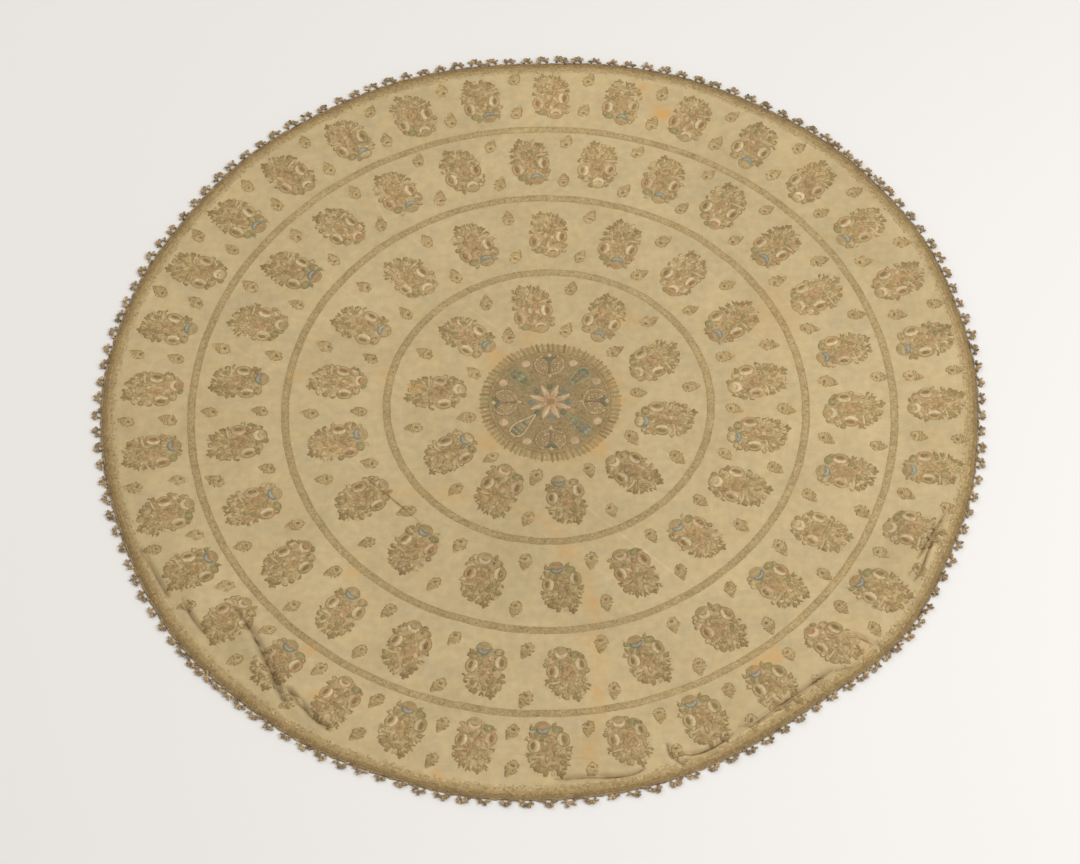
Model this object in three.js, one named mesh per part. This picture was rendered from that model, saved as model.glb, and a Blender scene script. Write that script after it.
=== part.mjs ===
// Round embroidered tablecloth with a needle lace edging, lying on a flat surface.
// Millimetres, +Z up, origin under the middle of the cloth, +Y away from the near edge.
import * as THREE from "three";

// Driving dimensions of the linen sheet
const edgeRadius = 628;
const sheetThickness = 2;
const borderWidth = 26;
const edgeSteps = 144;
const mountTriangleRadius = 50;

// Driving dimensions of the lace edging
const seamGap = 0.35;
const stripWidth = 2.2;
const laceThickness = 1.2;
const floretPitch = 30;
const floretBaseHalfWidth = 1.5;
const floretLean = 16;

// Where the cut edge runs inside its full round, angles in degrees from +X, the rest in mm
const edgeDents = [
  { at: 2, spread: 26, inward: 15 },
  { at: 90, spread: 7, inward: 7 },
  { at: 150, spread: 8, inward: 4 },
  { at: 197, spread: 9, inward: 6 },
  { at: 283, spread: 10, inward: 6 },
  { at: 304, spread: 13, inward: 23 },
  { at: 334, spread: 18, inward: 13 },
];
const edgeRipple = { waves: 17, height: 0.9 };

// How high the cloth puffs up inside its border, round the edge
const puffBase = 1.5;
const puffDistance = 52;
const puffReach = 36;
const puffs = [
  { at: 60, spread: 28, height: 2 },
  { at: 200, spread: 14, height: 4 },
  { at: 228, spread: 20, height: 8 },
  { at: 272, spread: 22, height: 4 },
  { at: 304, spread: 24, height: 7 },
  { at: 334, spread: 12, height: 4 },
];

// How high the stitched border stands as a soft roll, round the edge
const rollBase = 3;
const rolls = [
  { at: 208, spread: 26, height: 4 },
  { at: 250, spread: 16, height: 3 },
  { at: 306, spread: 34, height: 6 },
];

// Creases: the cloth touches down along a smooth path and stands up to the shoulder height beside it
const creases = [
  { name: "left border", width: 12, shoulder: 5, path: [[-590, -150], [-566, -232], [-534, -292], [-484, -360]] },
  { name: "left fold", width: 15, shoulder: 10, path: [[-430, -312], [-408, -362], [-364, -456], [-286, -530]] },
  { name: "near border", width: 12, shoulder: 4, path: [[-40, -604], [30, -602], [96, -592], [142, -578]] },
  { name: "near pucker", width: 10, shoulder: 4, path: [[148, -592], [166, -568], [190, -549], [220, -544]] },
  { name: "right border", width: 13, shoulder: 6, path: [[186, -565], [266, -521], [350, -465], [424, -430]] },
  { name: "right pucker", width: 11, shoulder: 4, path: [[398, -424], [424, -414], [444, -403], [462, -386]] },
  { name: "far right border", width: 12, shoulder: 5, path: [[484, -312], [508, -280], [528, -246], [550, -202]] },
  { name: "upper right crease", width: 15, shoulder: 3, path: [[330, 500], [388, 470], [436, 434], [478, 396]] },
];
const creaseSteps = 12;
const creaseTaper = 0.25;

// Low swells of the laid cloth, each a round rise in plan
const swells = [
  { x: -390, y: 190, reach: 90, height: 2.2 },
  { x: -150, y: 400, reach: 80, height: 1.8 },
  { x: 250, y: 330, reach: 90, height: 2.4 },
  { x: 420, y: 20, reach: 85, height: 2 },
  { x: 230, y: -260, reach: 80, height: 2.2 },
  { x: -90, y: -330, reach: 90, height: 2.4 },
  { x: -280, y: -130, reach: 75, height: 2.6 },
];
const liftedFrom = 0.3;

// Inner rings of the sheet's mesh by their share of the edge radius, border rings by their inset
const innerRings = [
  { share: 0.17, count: 24 },
  { share: 0.29, count: 48 },
  { share: 0.41, count: 72 },
  { share: 0.53, count: 96 },
  { share: 0.65, count: 120 },
];
const borderRings = [132, 96, 70, 51, 37, 26, 17, 8, 0];

// Outlines of the three kinds of floret, x along the edge and y outward, without the two base points
const floretShapes = [
  [[-1.1, 6], [-5.6, 4.8], [-6.9, 8.4], [-3, 10], [-2.5, 14.6], [2.5, 14.6], [3, 10], [6.9, 8.4], [5.6, 4.8], [1.1, 6]],
  [[-1.1, 8.6], [-5.4, 6.2], [-7.4, 8.4], [-4, 13], [4, 13.4], [7.4, 8.8], [5.4, 6.6], [1.1, 8.6]],
  [[-1.3, 6.6], [-6.2, 11.6], [-4.2, 14.6], [0, 10.2], [4.4, 15.4], [6.2, 12.2], [1.3, 6.6]],
];
const crowdedFlorets = [
  { at: 42, spread: 7, gain: 0.35 },
  { at: 223, spread: 6, gain: 0.6 },
  { at: 318, spread: 5, gain: 0.4 },
];

const fullTurn = 2 * Math.PI;
const degrees = Math.PI / 180;

function smoothStep(from, to, value) {
  const t = THREE.MathUtils.clamp((value - from) / (to - from), 0, 1);
  return t * t * (3 - 2 * t);
}

// A bell of height 1 round an angle, which wraps at the full turn
function bellAt(angle, row) {
  const turned = angle / degrees - row.at;
  const apart = turned - 360 * Math.round(turned / 360);
  return Math.exp(-((apart / row.spread) ** 2));
}

function edgeRadiusAt(angle) {
  let radius = edgeRadius + edgeRipple.height * Math.sin(edgeRipple.waves * angle);
  for (const dent of edgeDents) radius -= dent.inward * bellAt(angle, dent);
  return radius;
}

// Each crease's path as short straight runs along a spline through its points
for (const crease of creases) {
  const corners = crease.path.map(([x, y]) => new THREE.Vector2(x, y));
  crease.runs = new THREE.SplineCurve(corners).getPoints(creaseSteps);
}

// Distance from a point to a crease, and the share of the crease's length up to the nearest place
function nearestOnCrease(x, y, { runs }) {
  let nearest = { distance: Infinity, along: 0 };
  for (let i = 0; i < creaseSteps; i += 1) {
    const start = runs[i];
    const dx = runs[i + 1].x - start.x;
    const dy = runs[i + 1].y - start.y;
    const share = ((x - start.x) * dx + (y - start.y) * dy) / (dx * dx + dy * dy);
    const run = THREE.MathUtils.clamp(share, 0, 1);
    const distance = Math.hypot(x - start.x - dx * run, y - start.y - dy * run);
    if (distance < nearest.distance) nearest = { distance, along: (i + run) / creaseSteps };
  }
  return nearest;
}

// Height of the sheet's underside over the surface that it lies on
function underside(x, y) {
  const angle = Math.atan2(y, x);
  const edge = edgeRadiusAt(angle);
  const radius = Math.hypot(x, y);
  const inset = Math.max(edge - radius, 0);
  const puffHeight = puffs.reduce((sum, row) => sum + row.height * bellAt(angle, row), puffBase);
  const rollHeight = rolls.reduce((sum, row) => sum + row.height * bellAt(angle, row), rollBase);
  const fromEdge = smoothStep(0, borderWidth, inset);
  let height = puffHeight * Math.exp(-(((inset - puffDistance) / puffReach) ** 2)) * fromEdge;
  height += rollHeight * Math.sin(Math.PI * Math.min(inset / borderWidth, 1));
  for (const swell of swells) {
    height += swell.height * Math.exp(-((Math.hypot(x - swell.x, y - swell.y) / swell.reach) ** 2));
  }
  for (const crease of creases) {
    const { distance, along } = nearestOnCrease(x, y, crease);
    const across = (distance / crease.width) ** 2;
    const taper = smoothStep(0, creaseTaper, along) * smoothStep(0, creaseTaper, 1 - along);
    height *= 1 - taper * Math.exp(-across);
    height += crease.shoulder * taper * across * Math.exp(1 - across) * fromEdge;
  }
  const lifted = smoothStep(liftedFrom * edge, 2 * liftedFrom * edge, radius);
  return inset > 0 ? height * lifted : 0;
}

function pushRing(points, count, radiusAt, lift) {
  const first = points.length / 3;
  for (let step = 0; step < count; step += 1) {
    const angle = (step / count) * fullTurn;
    const radius = radiusAt(angle);
    const x = radius * Math.cos(angle);
    const y = radius * Math.sin(angle);
    points.push(x, y, underside(x, y) + lift);
  }
  return { first, count };
}

function ringVertex(ring, step) {
  return ring.first + (step % ring.count);
}

// Triangles between two rings with any counts, walked by angle, facing up
function stitchRings(inner, outer, faces) {
  let i = 0;
  let j = 0;
  while (i < inner.count || j < outer.count) {
    const innerNext = (i + 1) / inner.count;
    const outerNext = (j + 1) / outer.count;
    if (i < inner.count && (j >= outer.count || innerNext < outerNext)) {
      faces.push([ringVertex(inner, i), ringVertex(outer, j), ringVertex(inner, i + 1)]);
      i += 1;
    } else {
      faces.push([ringVertex(inner, i), ringVertex(outer, j), ringVertex(outer, j + 1)]);
      j += 1;
    }
  }
}

// One skin of the sheet: a triangle in the middle with its three corners, then rings out to the edge
function makeSkin(points, lift) {
  const faces = [];
  const middle = pushRing(points, 6, () => mountTriangleRadius, lift);
  const corners = [[0, 2, 4], [0, 1, 2], [2, 3, 4], [4, 5, 0]];
  for (const corner of corners) faces.push(corner.map((step) => ringVertex(middle, step)));
  let last = middle;
  for (const { share, count } of innerRings) {
    const ring = pushRing(points, count, (angle) => share * edgeRadiusAt(angle), lift);
    stitchRings(last, ring, faces);
    last = ring;
  }
  for (const inset of borderRings) {
    const ring = pushRing(points, edgeSteps, (angle) => edgeRadiusAt(angle) - inset, lift);
    stitchRings(last, ring, faces);
    last = ring;
  }
  return { faces, edge: last };
}

function makeCloth() {
  const points = [];
  const top = makeSkin(points, sheetThickness);
  const bottom = makeSkin(points, 0);
  const faces = [...top.faces];
  for (const [a, b, c] of bottom.faces) faces.push([a, c, b]);
  for (let step = 0; step < edgeSteps; step += 1) {
    const upper = [ringVertex(top.edge, step), ringVertex(top.edge, step + 1)];
    const lower = [ringVertex(bottom.edge, step), ringVertex(bottom.edge, step + 1)];
    faces.push([upper[0], lower[0], lower[1]]);
    faces.push([upper[0], lower[1], upper[1]]);
  }
  const geometry = new THREE.BufferGeometry();
  geometry.setAttribute("position", new THREE.Float32BufferAttribute(points, 3));
  geometry.setIndex(faces.flat());
  geometry.computeVertexNormals();
  const linen = new THREE.MeshStandardMaterial({ color: 0xbca57b, roughness: 0.9, metalness: 0 });
  const mesh = new THREE.Mesh(geometry, linen);
  mesh.name = "cloth";
  return mesh;
}

// Angles of the florets, evenly pitched but closer where they crowd, and scaled to close the round
function floretAngles() {
  const angles = [];
  let angle = 0;
  while (angle < fullTurn) {
    angles.push(angle);
    const crowding = crowdedFlorets.reduce((sum, row) => sum + row.gain * bellAt(angle, row), 1);
    angle += floretPitch / edgeRadius / crowding;
  }
  return angles.map((at) => (at * fullTurn) / angle);
}

function pushFloret(outline, angle, index) {
  const radius = edgeRadiusAt(angle) + seamGap + stripWidth;
  const base = new THREE.Vector2(Math.cos(angle), Math.sin(angle)).multiplyScalar(radius);
  const lean = floretLean * degrees * Math.sin(2.4 * index);
  const size = 1 + 0.12 * Math.sin(5.1 * index);
  const place = (x, y, turn) =>
    new THREE.Vector2(-x * size, y * size).rotateAround(new THREE.Vector2(), angle - Math.PI / 2 + turn).add(base);
  outline.push(place(-floretBaseHalfWidth, 0, 0));
  for (const [x, y] of floretShapes[index % floretShapes.length]) outline.push(place(x, y, lean));
  outline.push(place(floretBaseHalfWidth, 0, 0));
}

// The edging lies flat: a narrow strip along the cloth's edge with the florets growing out of it
function makeLaceEdging() {
  const outline = [];
  floretAngles().forEach((angle, index) => pushFloret(outline, angle, index));
  const inner = [];
  for (let step = 0; step < edgeSteps; step += 1) {
    const angle = (step / edgeSteps) * fullTurn;
    const radius = edgeRadiusAt(angle) + seamGap;
    inner.push(new THREE.Vector2(radius * Math.cos(angle), radius * Math.sin(angle)));
  }
  const shape = new THREE.Shape(outline);
  shape.holes.push(new THREE.Path(inner));
  const geometry = new THREE.ExtrudeGeometry(shape, { depth: laceThickness, bevelEnabled: false });
  const thread = new THREE.MeshStandardMaterial({ color: 0x7a6242, roughness: 0.85, metalness: 0 });
  const mesh = new THREE.Mesh(geometry, thread);
  mesh.name = "lace_edging";
  return mesh;
}

const tablecloth = new THREE.Group();
tablecloth.add(makeCloth(), makeLaceEdging());

export default tablecloth;
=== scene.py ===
"""Round embroidered tablecloth: linen sheet, stitched rings, sprays and medallion, and needle lace edging.

Plan tables are in millimetres, with +Y away from the near edge and +X to the right.
A spray, sprig or floret has its own plan, x along its ring and y outward from the middle of the cloth.
"""

import math
from collections import namedtuple

import bpy
import numpy as np
from bpy.props import FloatProperty, FloatVectorProperty, IntProperty, PointerProperty
from mathutils import Matrix, Vector


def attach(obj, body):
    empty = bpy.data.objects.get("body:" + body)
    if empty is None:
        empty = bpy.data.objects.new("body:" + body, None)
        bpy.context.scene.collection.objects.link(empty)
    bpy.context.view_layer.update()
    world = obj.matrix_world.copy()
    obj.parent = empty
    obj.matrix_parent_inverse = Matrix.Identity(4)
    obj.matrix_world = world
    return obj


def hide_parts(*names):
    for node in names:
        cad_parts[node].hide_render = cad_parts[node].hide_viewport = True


bl_info = {
    "name": "Round embroidered tablecloth",
    "version": (1, 0, 0),
    "blender": (4, 5, 0),
    "location": "3D View > Sidebar > Tablecloth",
    "description": "Builds a round linen tablecloth with stitched sprays, a medallion and a lace edging",
    "category": "Add Mesh",
}

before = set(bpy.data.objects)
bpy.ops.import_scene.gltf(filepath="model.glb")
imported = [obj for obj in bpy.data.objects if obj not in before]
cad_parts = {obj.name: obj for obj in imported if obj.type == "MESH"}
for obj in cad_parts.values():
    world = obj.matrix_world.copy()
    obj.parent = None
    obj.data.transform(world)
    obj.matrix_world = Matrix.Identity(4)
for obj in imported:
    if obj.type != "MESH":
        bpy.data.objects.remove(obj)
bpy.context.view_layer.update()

MM = 0.001
TURN = 2 * math.pi
QUARTER = math.pi / 2
BODY = "root"

# Plan of the sheet: where its edge runs inside the full round, and how it puffs and rolls near the edge
AngleBell = namedtuple("AngleBell", "at spread amount")
EDGE_DENTS = [
    AngleBell(2, 26, 15), AngleBell(90, 7, 7), AngleBell(150, 8, 4), AngleBell(197, 9, 6),
    AngleBell(283, 10, 6), AngleBell(304, 13, 23), AngleBell(334, 18, 13),
]
EDGE_RIPPLE_WAVES = 17
EDGE_RIPPLE = 0.9
PUFF_BASE, PUFF_DISTANCE, PUFF_REACH = 1.5, 52, 36
PUFFS = [
    AngleBell(60, 28, 2), AngleBell(200, 14, 4), AngleBell(228, 20, 5.5),
    AngleBell(272, 22, 4), AngleBell(304, 24, 4.5), AngleBell(334, 12, 4),
]
ROLL_BASE = 1.3
ROLLS = [AngleBell(208, 26, 1.4), AngleBell(250, 16, 1.1), AngleBell(306, 34, 2.4)]

# Creases: the cloth touches down along a smooth path and stands up to the shoulder height beside it
Crease = namedtuple("Crease", "width shoulder dirt path")
# Each crease's third number sets how dark its line is painted: grime in it and painted shade
CREASES = [
    Crease(12, 4.2, 0.9, [(-433, -322), (-410, -356), (-388, -403), (-366, -458), (-355, -484)]),
    Crease(10, 3.0, 0.85, [(-357, -453), (-336, -480), (-318, -501), (-294, -522)]),
    Crease(8, 2.5, 0.6, [(-568, -224), (-552, -250), (-530, -292), (-520, -308)]),
    Crease(7, 2, 0.6, [(-503, -306), (-493, -330), (-482, -350), (-466, -370)]),
    Crease(7, 2.0, 1.0, [(0, -599), (50, -598), (98, -596), (126, -584)]),
    Crease(7, 2.8, 0.95, [(154, -548), (157, -565), (165, -574), (178, -583)]),
    Crease(7, 2.0, 1.1, [(163, -567), (190, -565), (216, -555), (244, -534)]),
    Crease(8, 2.3, 1.1, [(248, -525), (274, -519), (302, -497), (332, -476), (362, -453), (380, -441),
                         (412, -437)]),
    Crease(7, 2.5, 0.7, [(408, -384), (430, -396), (450, -411)]),
    Crease(8, 2.5, 0.85, [(506, -270), (524, -238), (538, -214), (560, -182)]),
    Crease(6, 1.5, 0.75, [(498, -304), (512, -284), (528, -244), (548, -208)]),
    Crease(13, 2.2, 0.0, [(330, 500), (388, 470), (436, 434), (478, 396)]),
]
CREASE_STEPS = 12
CREASE_TAPER, CREASE_VALLEY, SHOULDER_POWER = 0.16, 0.38, 1.4

# Width of a crease whose dark line, grime and painted shade, is as wide as a thin line's
FINE_CREASE = 8.0

# Low swells of the laid cloth, away from its flat middle: x, y, reach, height
SWELLS = [
    (-390, 190, 90, 2.2), (-150, 400, 80, 1.8), (250, 330, 90, 2.4), (420, 20, 85, 2.0),
    (230, -260, 80, 2.2), (-90, -330, 90, 2.4), (-280, -130, 75, 2.6),
]
LIFTED_FROM = 0.3

# Thin lines in the cloth: start, end, and strength, which is below 0 for a ridge left by storage. Above 0 the
# line is painted darker, as grime and painted shade; below 0 it is painted paler, as a painted highlight on
# the ridge.
FOLD_LINES = [
    ((-256, 398), (-220, 308), -0.7), ((-148, 210), (-50, 120), -0.6), ((-325, 245), (-215, 140), -0.5),
    ((40, -158), (205, -312), -0.8), ((150, -70), (192, -102), -0.5), ((-300, -60), (-240, -128), -0.4),
    ((350, 490), (472, 408), -0.8), ((292, 522), (372, 474), -0.6), ((-120, 330), (-60, 268), -0.4),
    ((300, 130), (352, 60), -0.4), ((180, -330), (300, -300), -0.4), ((-150, -205), (-122, -255), -0.5),
    ((-210, -150), (-140, -240), 0.3), ((-255, -115), (-186, -181), 0.9), ((-455, 120), (-380, 60), -0.4),
    ((493, -294), (509, -275), 0.8), ((484, -339), (493, -333), 0.6), ((556, -182), (566, -150), -0.4),
    ((160, 20), (230, -60), -0.3), ((-40, 560), (40, 548), -0.4), ((-60, -560), (60, -572), 0.25),
]

# Stains: x, y, reach, strength
STAINS = [
    (184, 523, 14, 0.9), (176, 526, 11, 0.6), (155, 573, 12, 0.6), (165, 548, 12, 0.35),
    (303, -414, 17, 0.6), (284, -430, 13, 0.5),
    (-327, -391, 12, 0.6), (-318, -466, 11, 0.6), (-187, 35, 10, 0.6), (-548, 35, 14, 0.3),
    (-152, -589, 10, 0.5), (-355, 60, 12, 0.5), (-270, -270, 12, 0.5), (330, 160, 50, 0.22),
    (105, 8, 9, 0.9), (98, 40, 10, 0.5), (-66, 84, 18, 0.5), (-84, -60, 18, 0.5), (72, -74, 16, 0.6),
    (420, -400, 24, 0.25), (-20, 118, 16, 0.4), (120, 150, 22, 0.3), (390, 420, 22, 0.2), (63, -470, 9, 0.6),
    (24, -245, 12, 0.5), (60, -330, 12, 0.5), (47, -560, 10, 0.5), (-233, 60, 14, 0.3),
]
STAIN_STREAK = [(-233, -140), (-70, -157), (23, -222), (58, -327), (64, -478), (47, -572)]
STREAK_REACH, STREAK_STRENGTH = 10, 0.28
HALO_MIDDLE, HALO_RADIUS, HALO_REACH, HALO_STRENGTH = (7, 7), 104, 16, 0.12

# Painted light and shade: where the cloth is painted paler or darker as if lit more or less: x, y, reach, and
# how much paler
PAINTED_LIGHT_SPOTS = [
    (60, 600, 170, 0.09), (450, 0, 170, 0.05), (-30, -235, 150, -0.065), (7, 7, 140, -0.07),
    (-600, -120, 160, -0.03),
]

# Painted light and shade on the stitching: how much paler it is painted at the far side of its ring, and
# darker at the near side
FAR_SIDE_PAINTED_LIGHT = 0.045

# How much paler the outer ring band is along its worn stretch
WORN_RING, WORN_STRETCH = 0.08, AngleBell(312, 26, 1)

# Ring bands: middle x, y and radius
RING_BANDS = [(5, 4, 230), (0, 0, 369), (-4, 0, 498)]

# Spray bands: the angles of some of their sprays are stations, and the rest are spaced evenly between them
SprayBand = namedtuple("SprayBand", ["name", "middle", "radius", "count", "stations", "sprig_out", "sprig_in",
                                     "blue_parity", "blue_shift"])
SPRAY_BANDS = [
    SprayBand("inner", (8, 6), 164, 10, [(0, 98.5), (2, 25), (4, -46.5), (5, -83.5), (7, -150), (9, -224.5)],
              36, 36, 1, 99),
    SprayBand("second", (3, 1), 301, 18, [(0, 89), (2, 48.5), (4, 7), (6, -28), (9, -87), (12, -149.5),
                                          (15, -208.5)], 36, 36, 1, 99),
    SprayBand("third", (-1, 0), 437, 26, [(0, 92), (3, 52.5), (7, -2), (11, -57.5), (15, -116), (19, -173),
                                          (23, -227.5)], 39, 36, 0, 99),
    SprayBand("outer", (-3, 3), 556, 33, [(0, 88), (5, 33), (9, -12.5), (13, -57), (16, -90), (20, -131),
                                          (23, -161.5), (27, -206), (30, -239.5)], 35, 25, 1, 14),
]

# Kinds of floret in the lace: each knob's heading in degrees from the edge's own direction, and its length
FLORET_KINDS = [
    [(8, 4.6), (52, 4.2), (90, 4.6), (128, 4.0), (172, 4.8)],
    [(4, 5.2), (66, 4.4), (114, 4.8), (176, 5.4)],
    [(30, 5.0), (84, 3.6), (140, 5.2), (178, 4.4)],
    [(14, 4.4), (60, 4.8), (125, 5.2), (168, 3.8)],
]
CROWDED_FLORETS = [
    AngleBell(42, 7, 0.35), AngleBell(90, 24, 0.1), AngleBell(223, 6, 0.6), AngleBell(318, 5, 0.3),
]

THREADS = [
    "umber", "bronze", "fawn", "filling", "cream", "peach", "sky", "steel", "moss", "rose", "ring_tan",
    "medallion_brown", "coral", "teal", "mint", "plum", "border_brown", "border_tan",
]


def length(name, description, default):
    """A length property in metres, with its default given in millimetres."""
    return FloatProperty(name=name, description=description, default=default * MM, min=0.0, unit="LENGTH",
                         precision=5)


def colour(name, description, default):
    """A colour property from its red, green and blue between 0 and 255."""
    return FloatVectorProperty(name=name, description=description, subtype="COLOR", size=3, min=0.0, max=1.0,
                               default=[linear(value) for value in default])


def linear(value):
    """Linear light of a colour value between 0 and 255."""
    share = value / 255
    return share / 12.92 if share <= 0.04045 else ((share + 0.055) / 1.055) ** 2.4


class ClothSizes(bpy.types.PropertyGroup):
    """Sizes of the linen sheet and its stitching."""

    edge_radius: length("Edge radius", "Radius of the full round before its dents", 628)
    sheet_thickness: length("Sheet thickness", "Thickness of the linen with its backing stitches", 1.2)
    border_width: length("Border width", "Width of the stitched border that stands as a roll", 26)
    weave_pitch: length("Weave pitch", "Distance between neighbouring linen threads", 0.9)
    satin_pitch: length("Satin pitch", "Distance between neighbouring satin stitches", 0.55)
    ring_width: length("Ring width", "Width of a ring band", 12)
    seed: IntProperty(name="Seed", description="Start of the random draws for the stitching", default=7)


class LaceSizes(bpy.types.PropertyGroup):
    """Sizes of the needle lace edging."""

    floret_pitch: length("Floret pitch", "Distance between neighbouring florets", 28.5)
    thread_radius: length("Thread radius", "Radius of a knotted lace thread", 1.08)
    seam_gap: length("Seam gap", "Gap between the linen and the edging", 0.35)
    strip_width: length("Strip width", "Width of the worked strip that carries the florets", 1.8)


class ThreadColours(bpy.types.PropertyGroup):
    """Colours of the linen and the threads."""

    linen: colour("Linen", "Aged linen", (195, 174, 131))
    stain: colour("Stain", "Old stains", (204, 160, 98))
    # Soil: grime in the folds, also laid on as painted shade in the creases
    soil_and_shade: colour("Soil", "Dirt in the folds", (92, 68, 36))
    umber: colour("Umber", "Dark outlines and stems", (149, 125, 83))
    bronze: colour("Bronze", "Main leaves", (161, 138, 94))
    fawn: colour("Fawn", "Light leaves", (192, 169, 125))
    filling: colour("Filling", "Close filling under the leaves", (176, 152, 108))
    cream: colour("Cream", "Light crescents", (209, 187, 146))
    peach: colour("Peach", "Pink crescents", (205, 175, 136))
    sky: colour("Sky", "Light blue crescents", (158, 157, 138))
    steel: colour("Steel", "Dark blue crescents", (131, 129, 112))
    moss: colour("Moss", "Green leaves", (152, 140, 96))
    rose: colour("Rose", "Rust and dusty red patches", (172, 141, 99))
    ring_tan: colour("Ring tan", "Ring bands", (177, 154, 110))
    medallion_brown: colour("Medallion brown", "Ground of the medallion", (160, 138, 98))
    coral: colour("Coral", "Star and drops", (200, 155, 115))
    teal: colour("Teal", "Dark green and blue cells", (124, 119, 92))
    mint: colour("Mint", "Light green outlines", (163, 158, 122))
    plum: colour("Plum", "Purple and red cells", (144, 118, 92))
    border_brown: colour("Border brown", "Outer band of the border", (144, 120, 80))
    border_tan: colour("Border tan", "Inner band of the border", (163, 139, 96))
    lace: colour("Lace", "Lace threads", (126, 105, 76))


class StageSizes(bpy.types.PropertyGroup):
    """Camera, lights and floor."""

    lens: FloatProperty(name="Lens", description="Focal length of the camera", default=122.35, unit="CAMERA")
    elevation: FloatProperty(name="Elevation", description="Camera's angle above the horizon",
                             default=math.radians(56.416), subtype="ANGLE")
    roll: FloatProperty(name="Roll", description="Camera's turn about its own axis",
                        default=math.radians(0.98), subtype="ANGLE")
    camera_place: FloatVectorProperty(name="Camera place", description="Where the camera stands", size=3,
                                      default=(-0.00822, -2.9088, 4.3161), subtype="TRANSLATION",
                                      unit="LENGTH")
    key_power: FloatProperty(name="Key power", description="Power of the key light", default=70.0,
                             unit="POWER")
    fill_power: FloatProperty(name="Fill power", description="Power of the fill light", default=22.0,
                              unit="POWER")
    sky_strength: FloatProperty(name="Surround", description="Strength of the even light", default=0.62)
    floor: colour("Floor", "Pale floor", (236, 234, 230))


# Shape of the laid sheet

def bell(angle, row):
    """A bell of height 1 round an angle, which wraps at the full turn."""
    apart = np.degrees(angle) - row.at
    apart = apart - 360 * np.round(apart / 360)
    return np.exp(-((apart / row.spread) ** 2))


def smooth_step(low, high, value):
    """A smooth rise from 0 at low to 1 at high."""
    share = np.clip((value - low) / (high - low), 0, 1)
    return share * share * (3 - 2 * share)


def spline_points(path, steps):
    """Even steps along a smooth curve through the points of a path."""
    corners = np.array(path, float)
    last = len(corners) - 1
    points = []
    for step in range(steps + 1):
        place = step / steps * last
        index = min(int(place), last)
        share = place - index
        before, start = corners[max(index - 1, 0)], corners[index]
        end, after = corners[min(index + 1, last)], corners[min(index + 2, last)]
        leave, arrive = (end - before) / 2, (after - start) / 2
        points.append((2 * start - 2 * end + leave + arrive) * share**3
                      + (3 * end - 3 * start - 2 * leave - arrive) * share**2 + leave * share + start)
    return np.array(points)


def nearest_on_path(x, y, points):
    """Distance to a path of straight runs, below 0 on its right, and the share of its length up to there."""
    nearest = np.full(np.shape(x), np.inf)
    along, side = np.zeros(np.shape(x)), np.ones(np.shape(x))
    steps = len(points) - 1
    for index in range(steps):
        start, run = points[index], points[index + 1] - points[index]
        away_x, away_y = x - start[0], y - start[1]
        share = np.clip((away_x * run[0] + away_y * run[1]) / (run @ run), 0, 1)
        distance = np.hypot(away_x - run[0] * share, away_y - run[1] * share)
        closer = distance < nearest
        nearest = np.where(closer, distance, nearest)
        along = np.where(closer, (index + share) / steps, along)
        side = np.where(closer, np.where(run[0] * away_y - run[1] * away_x < 0, -1.0, 1.0), side)
    return nearest * side, along


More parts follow.
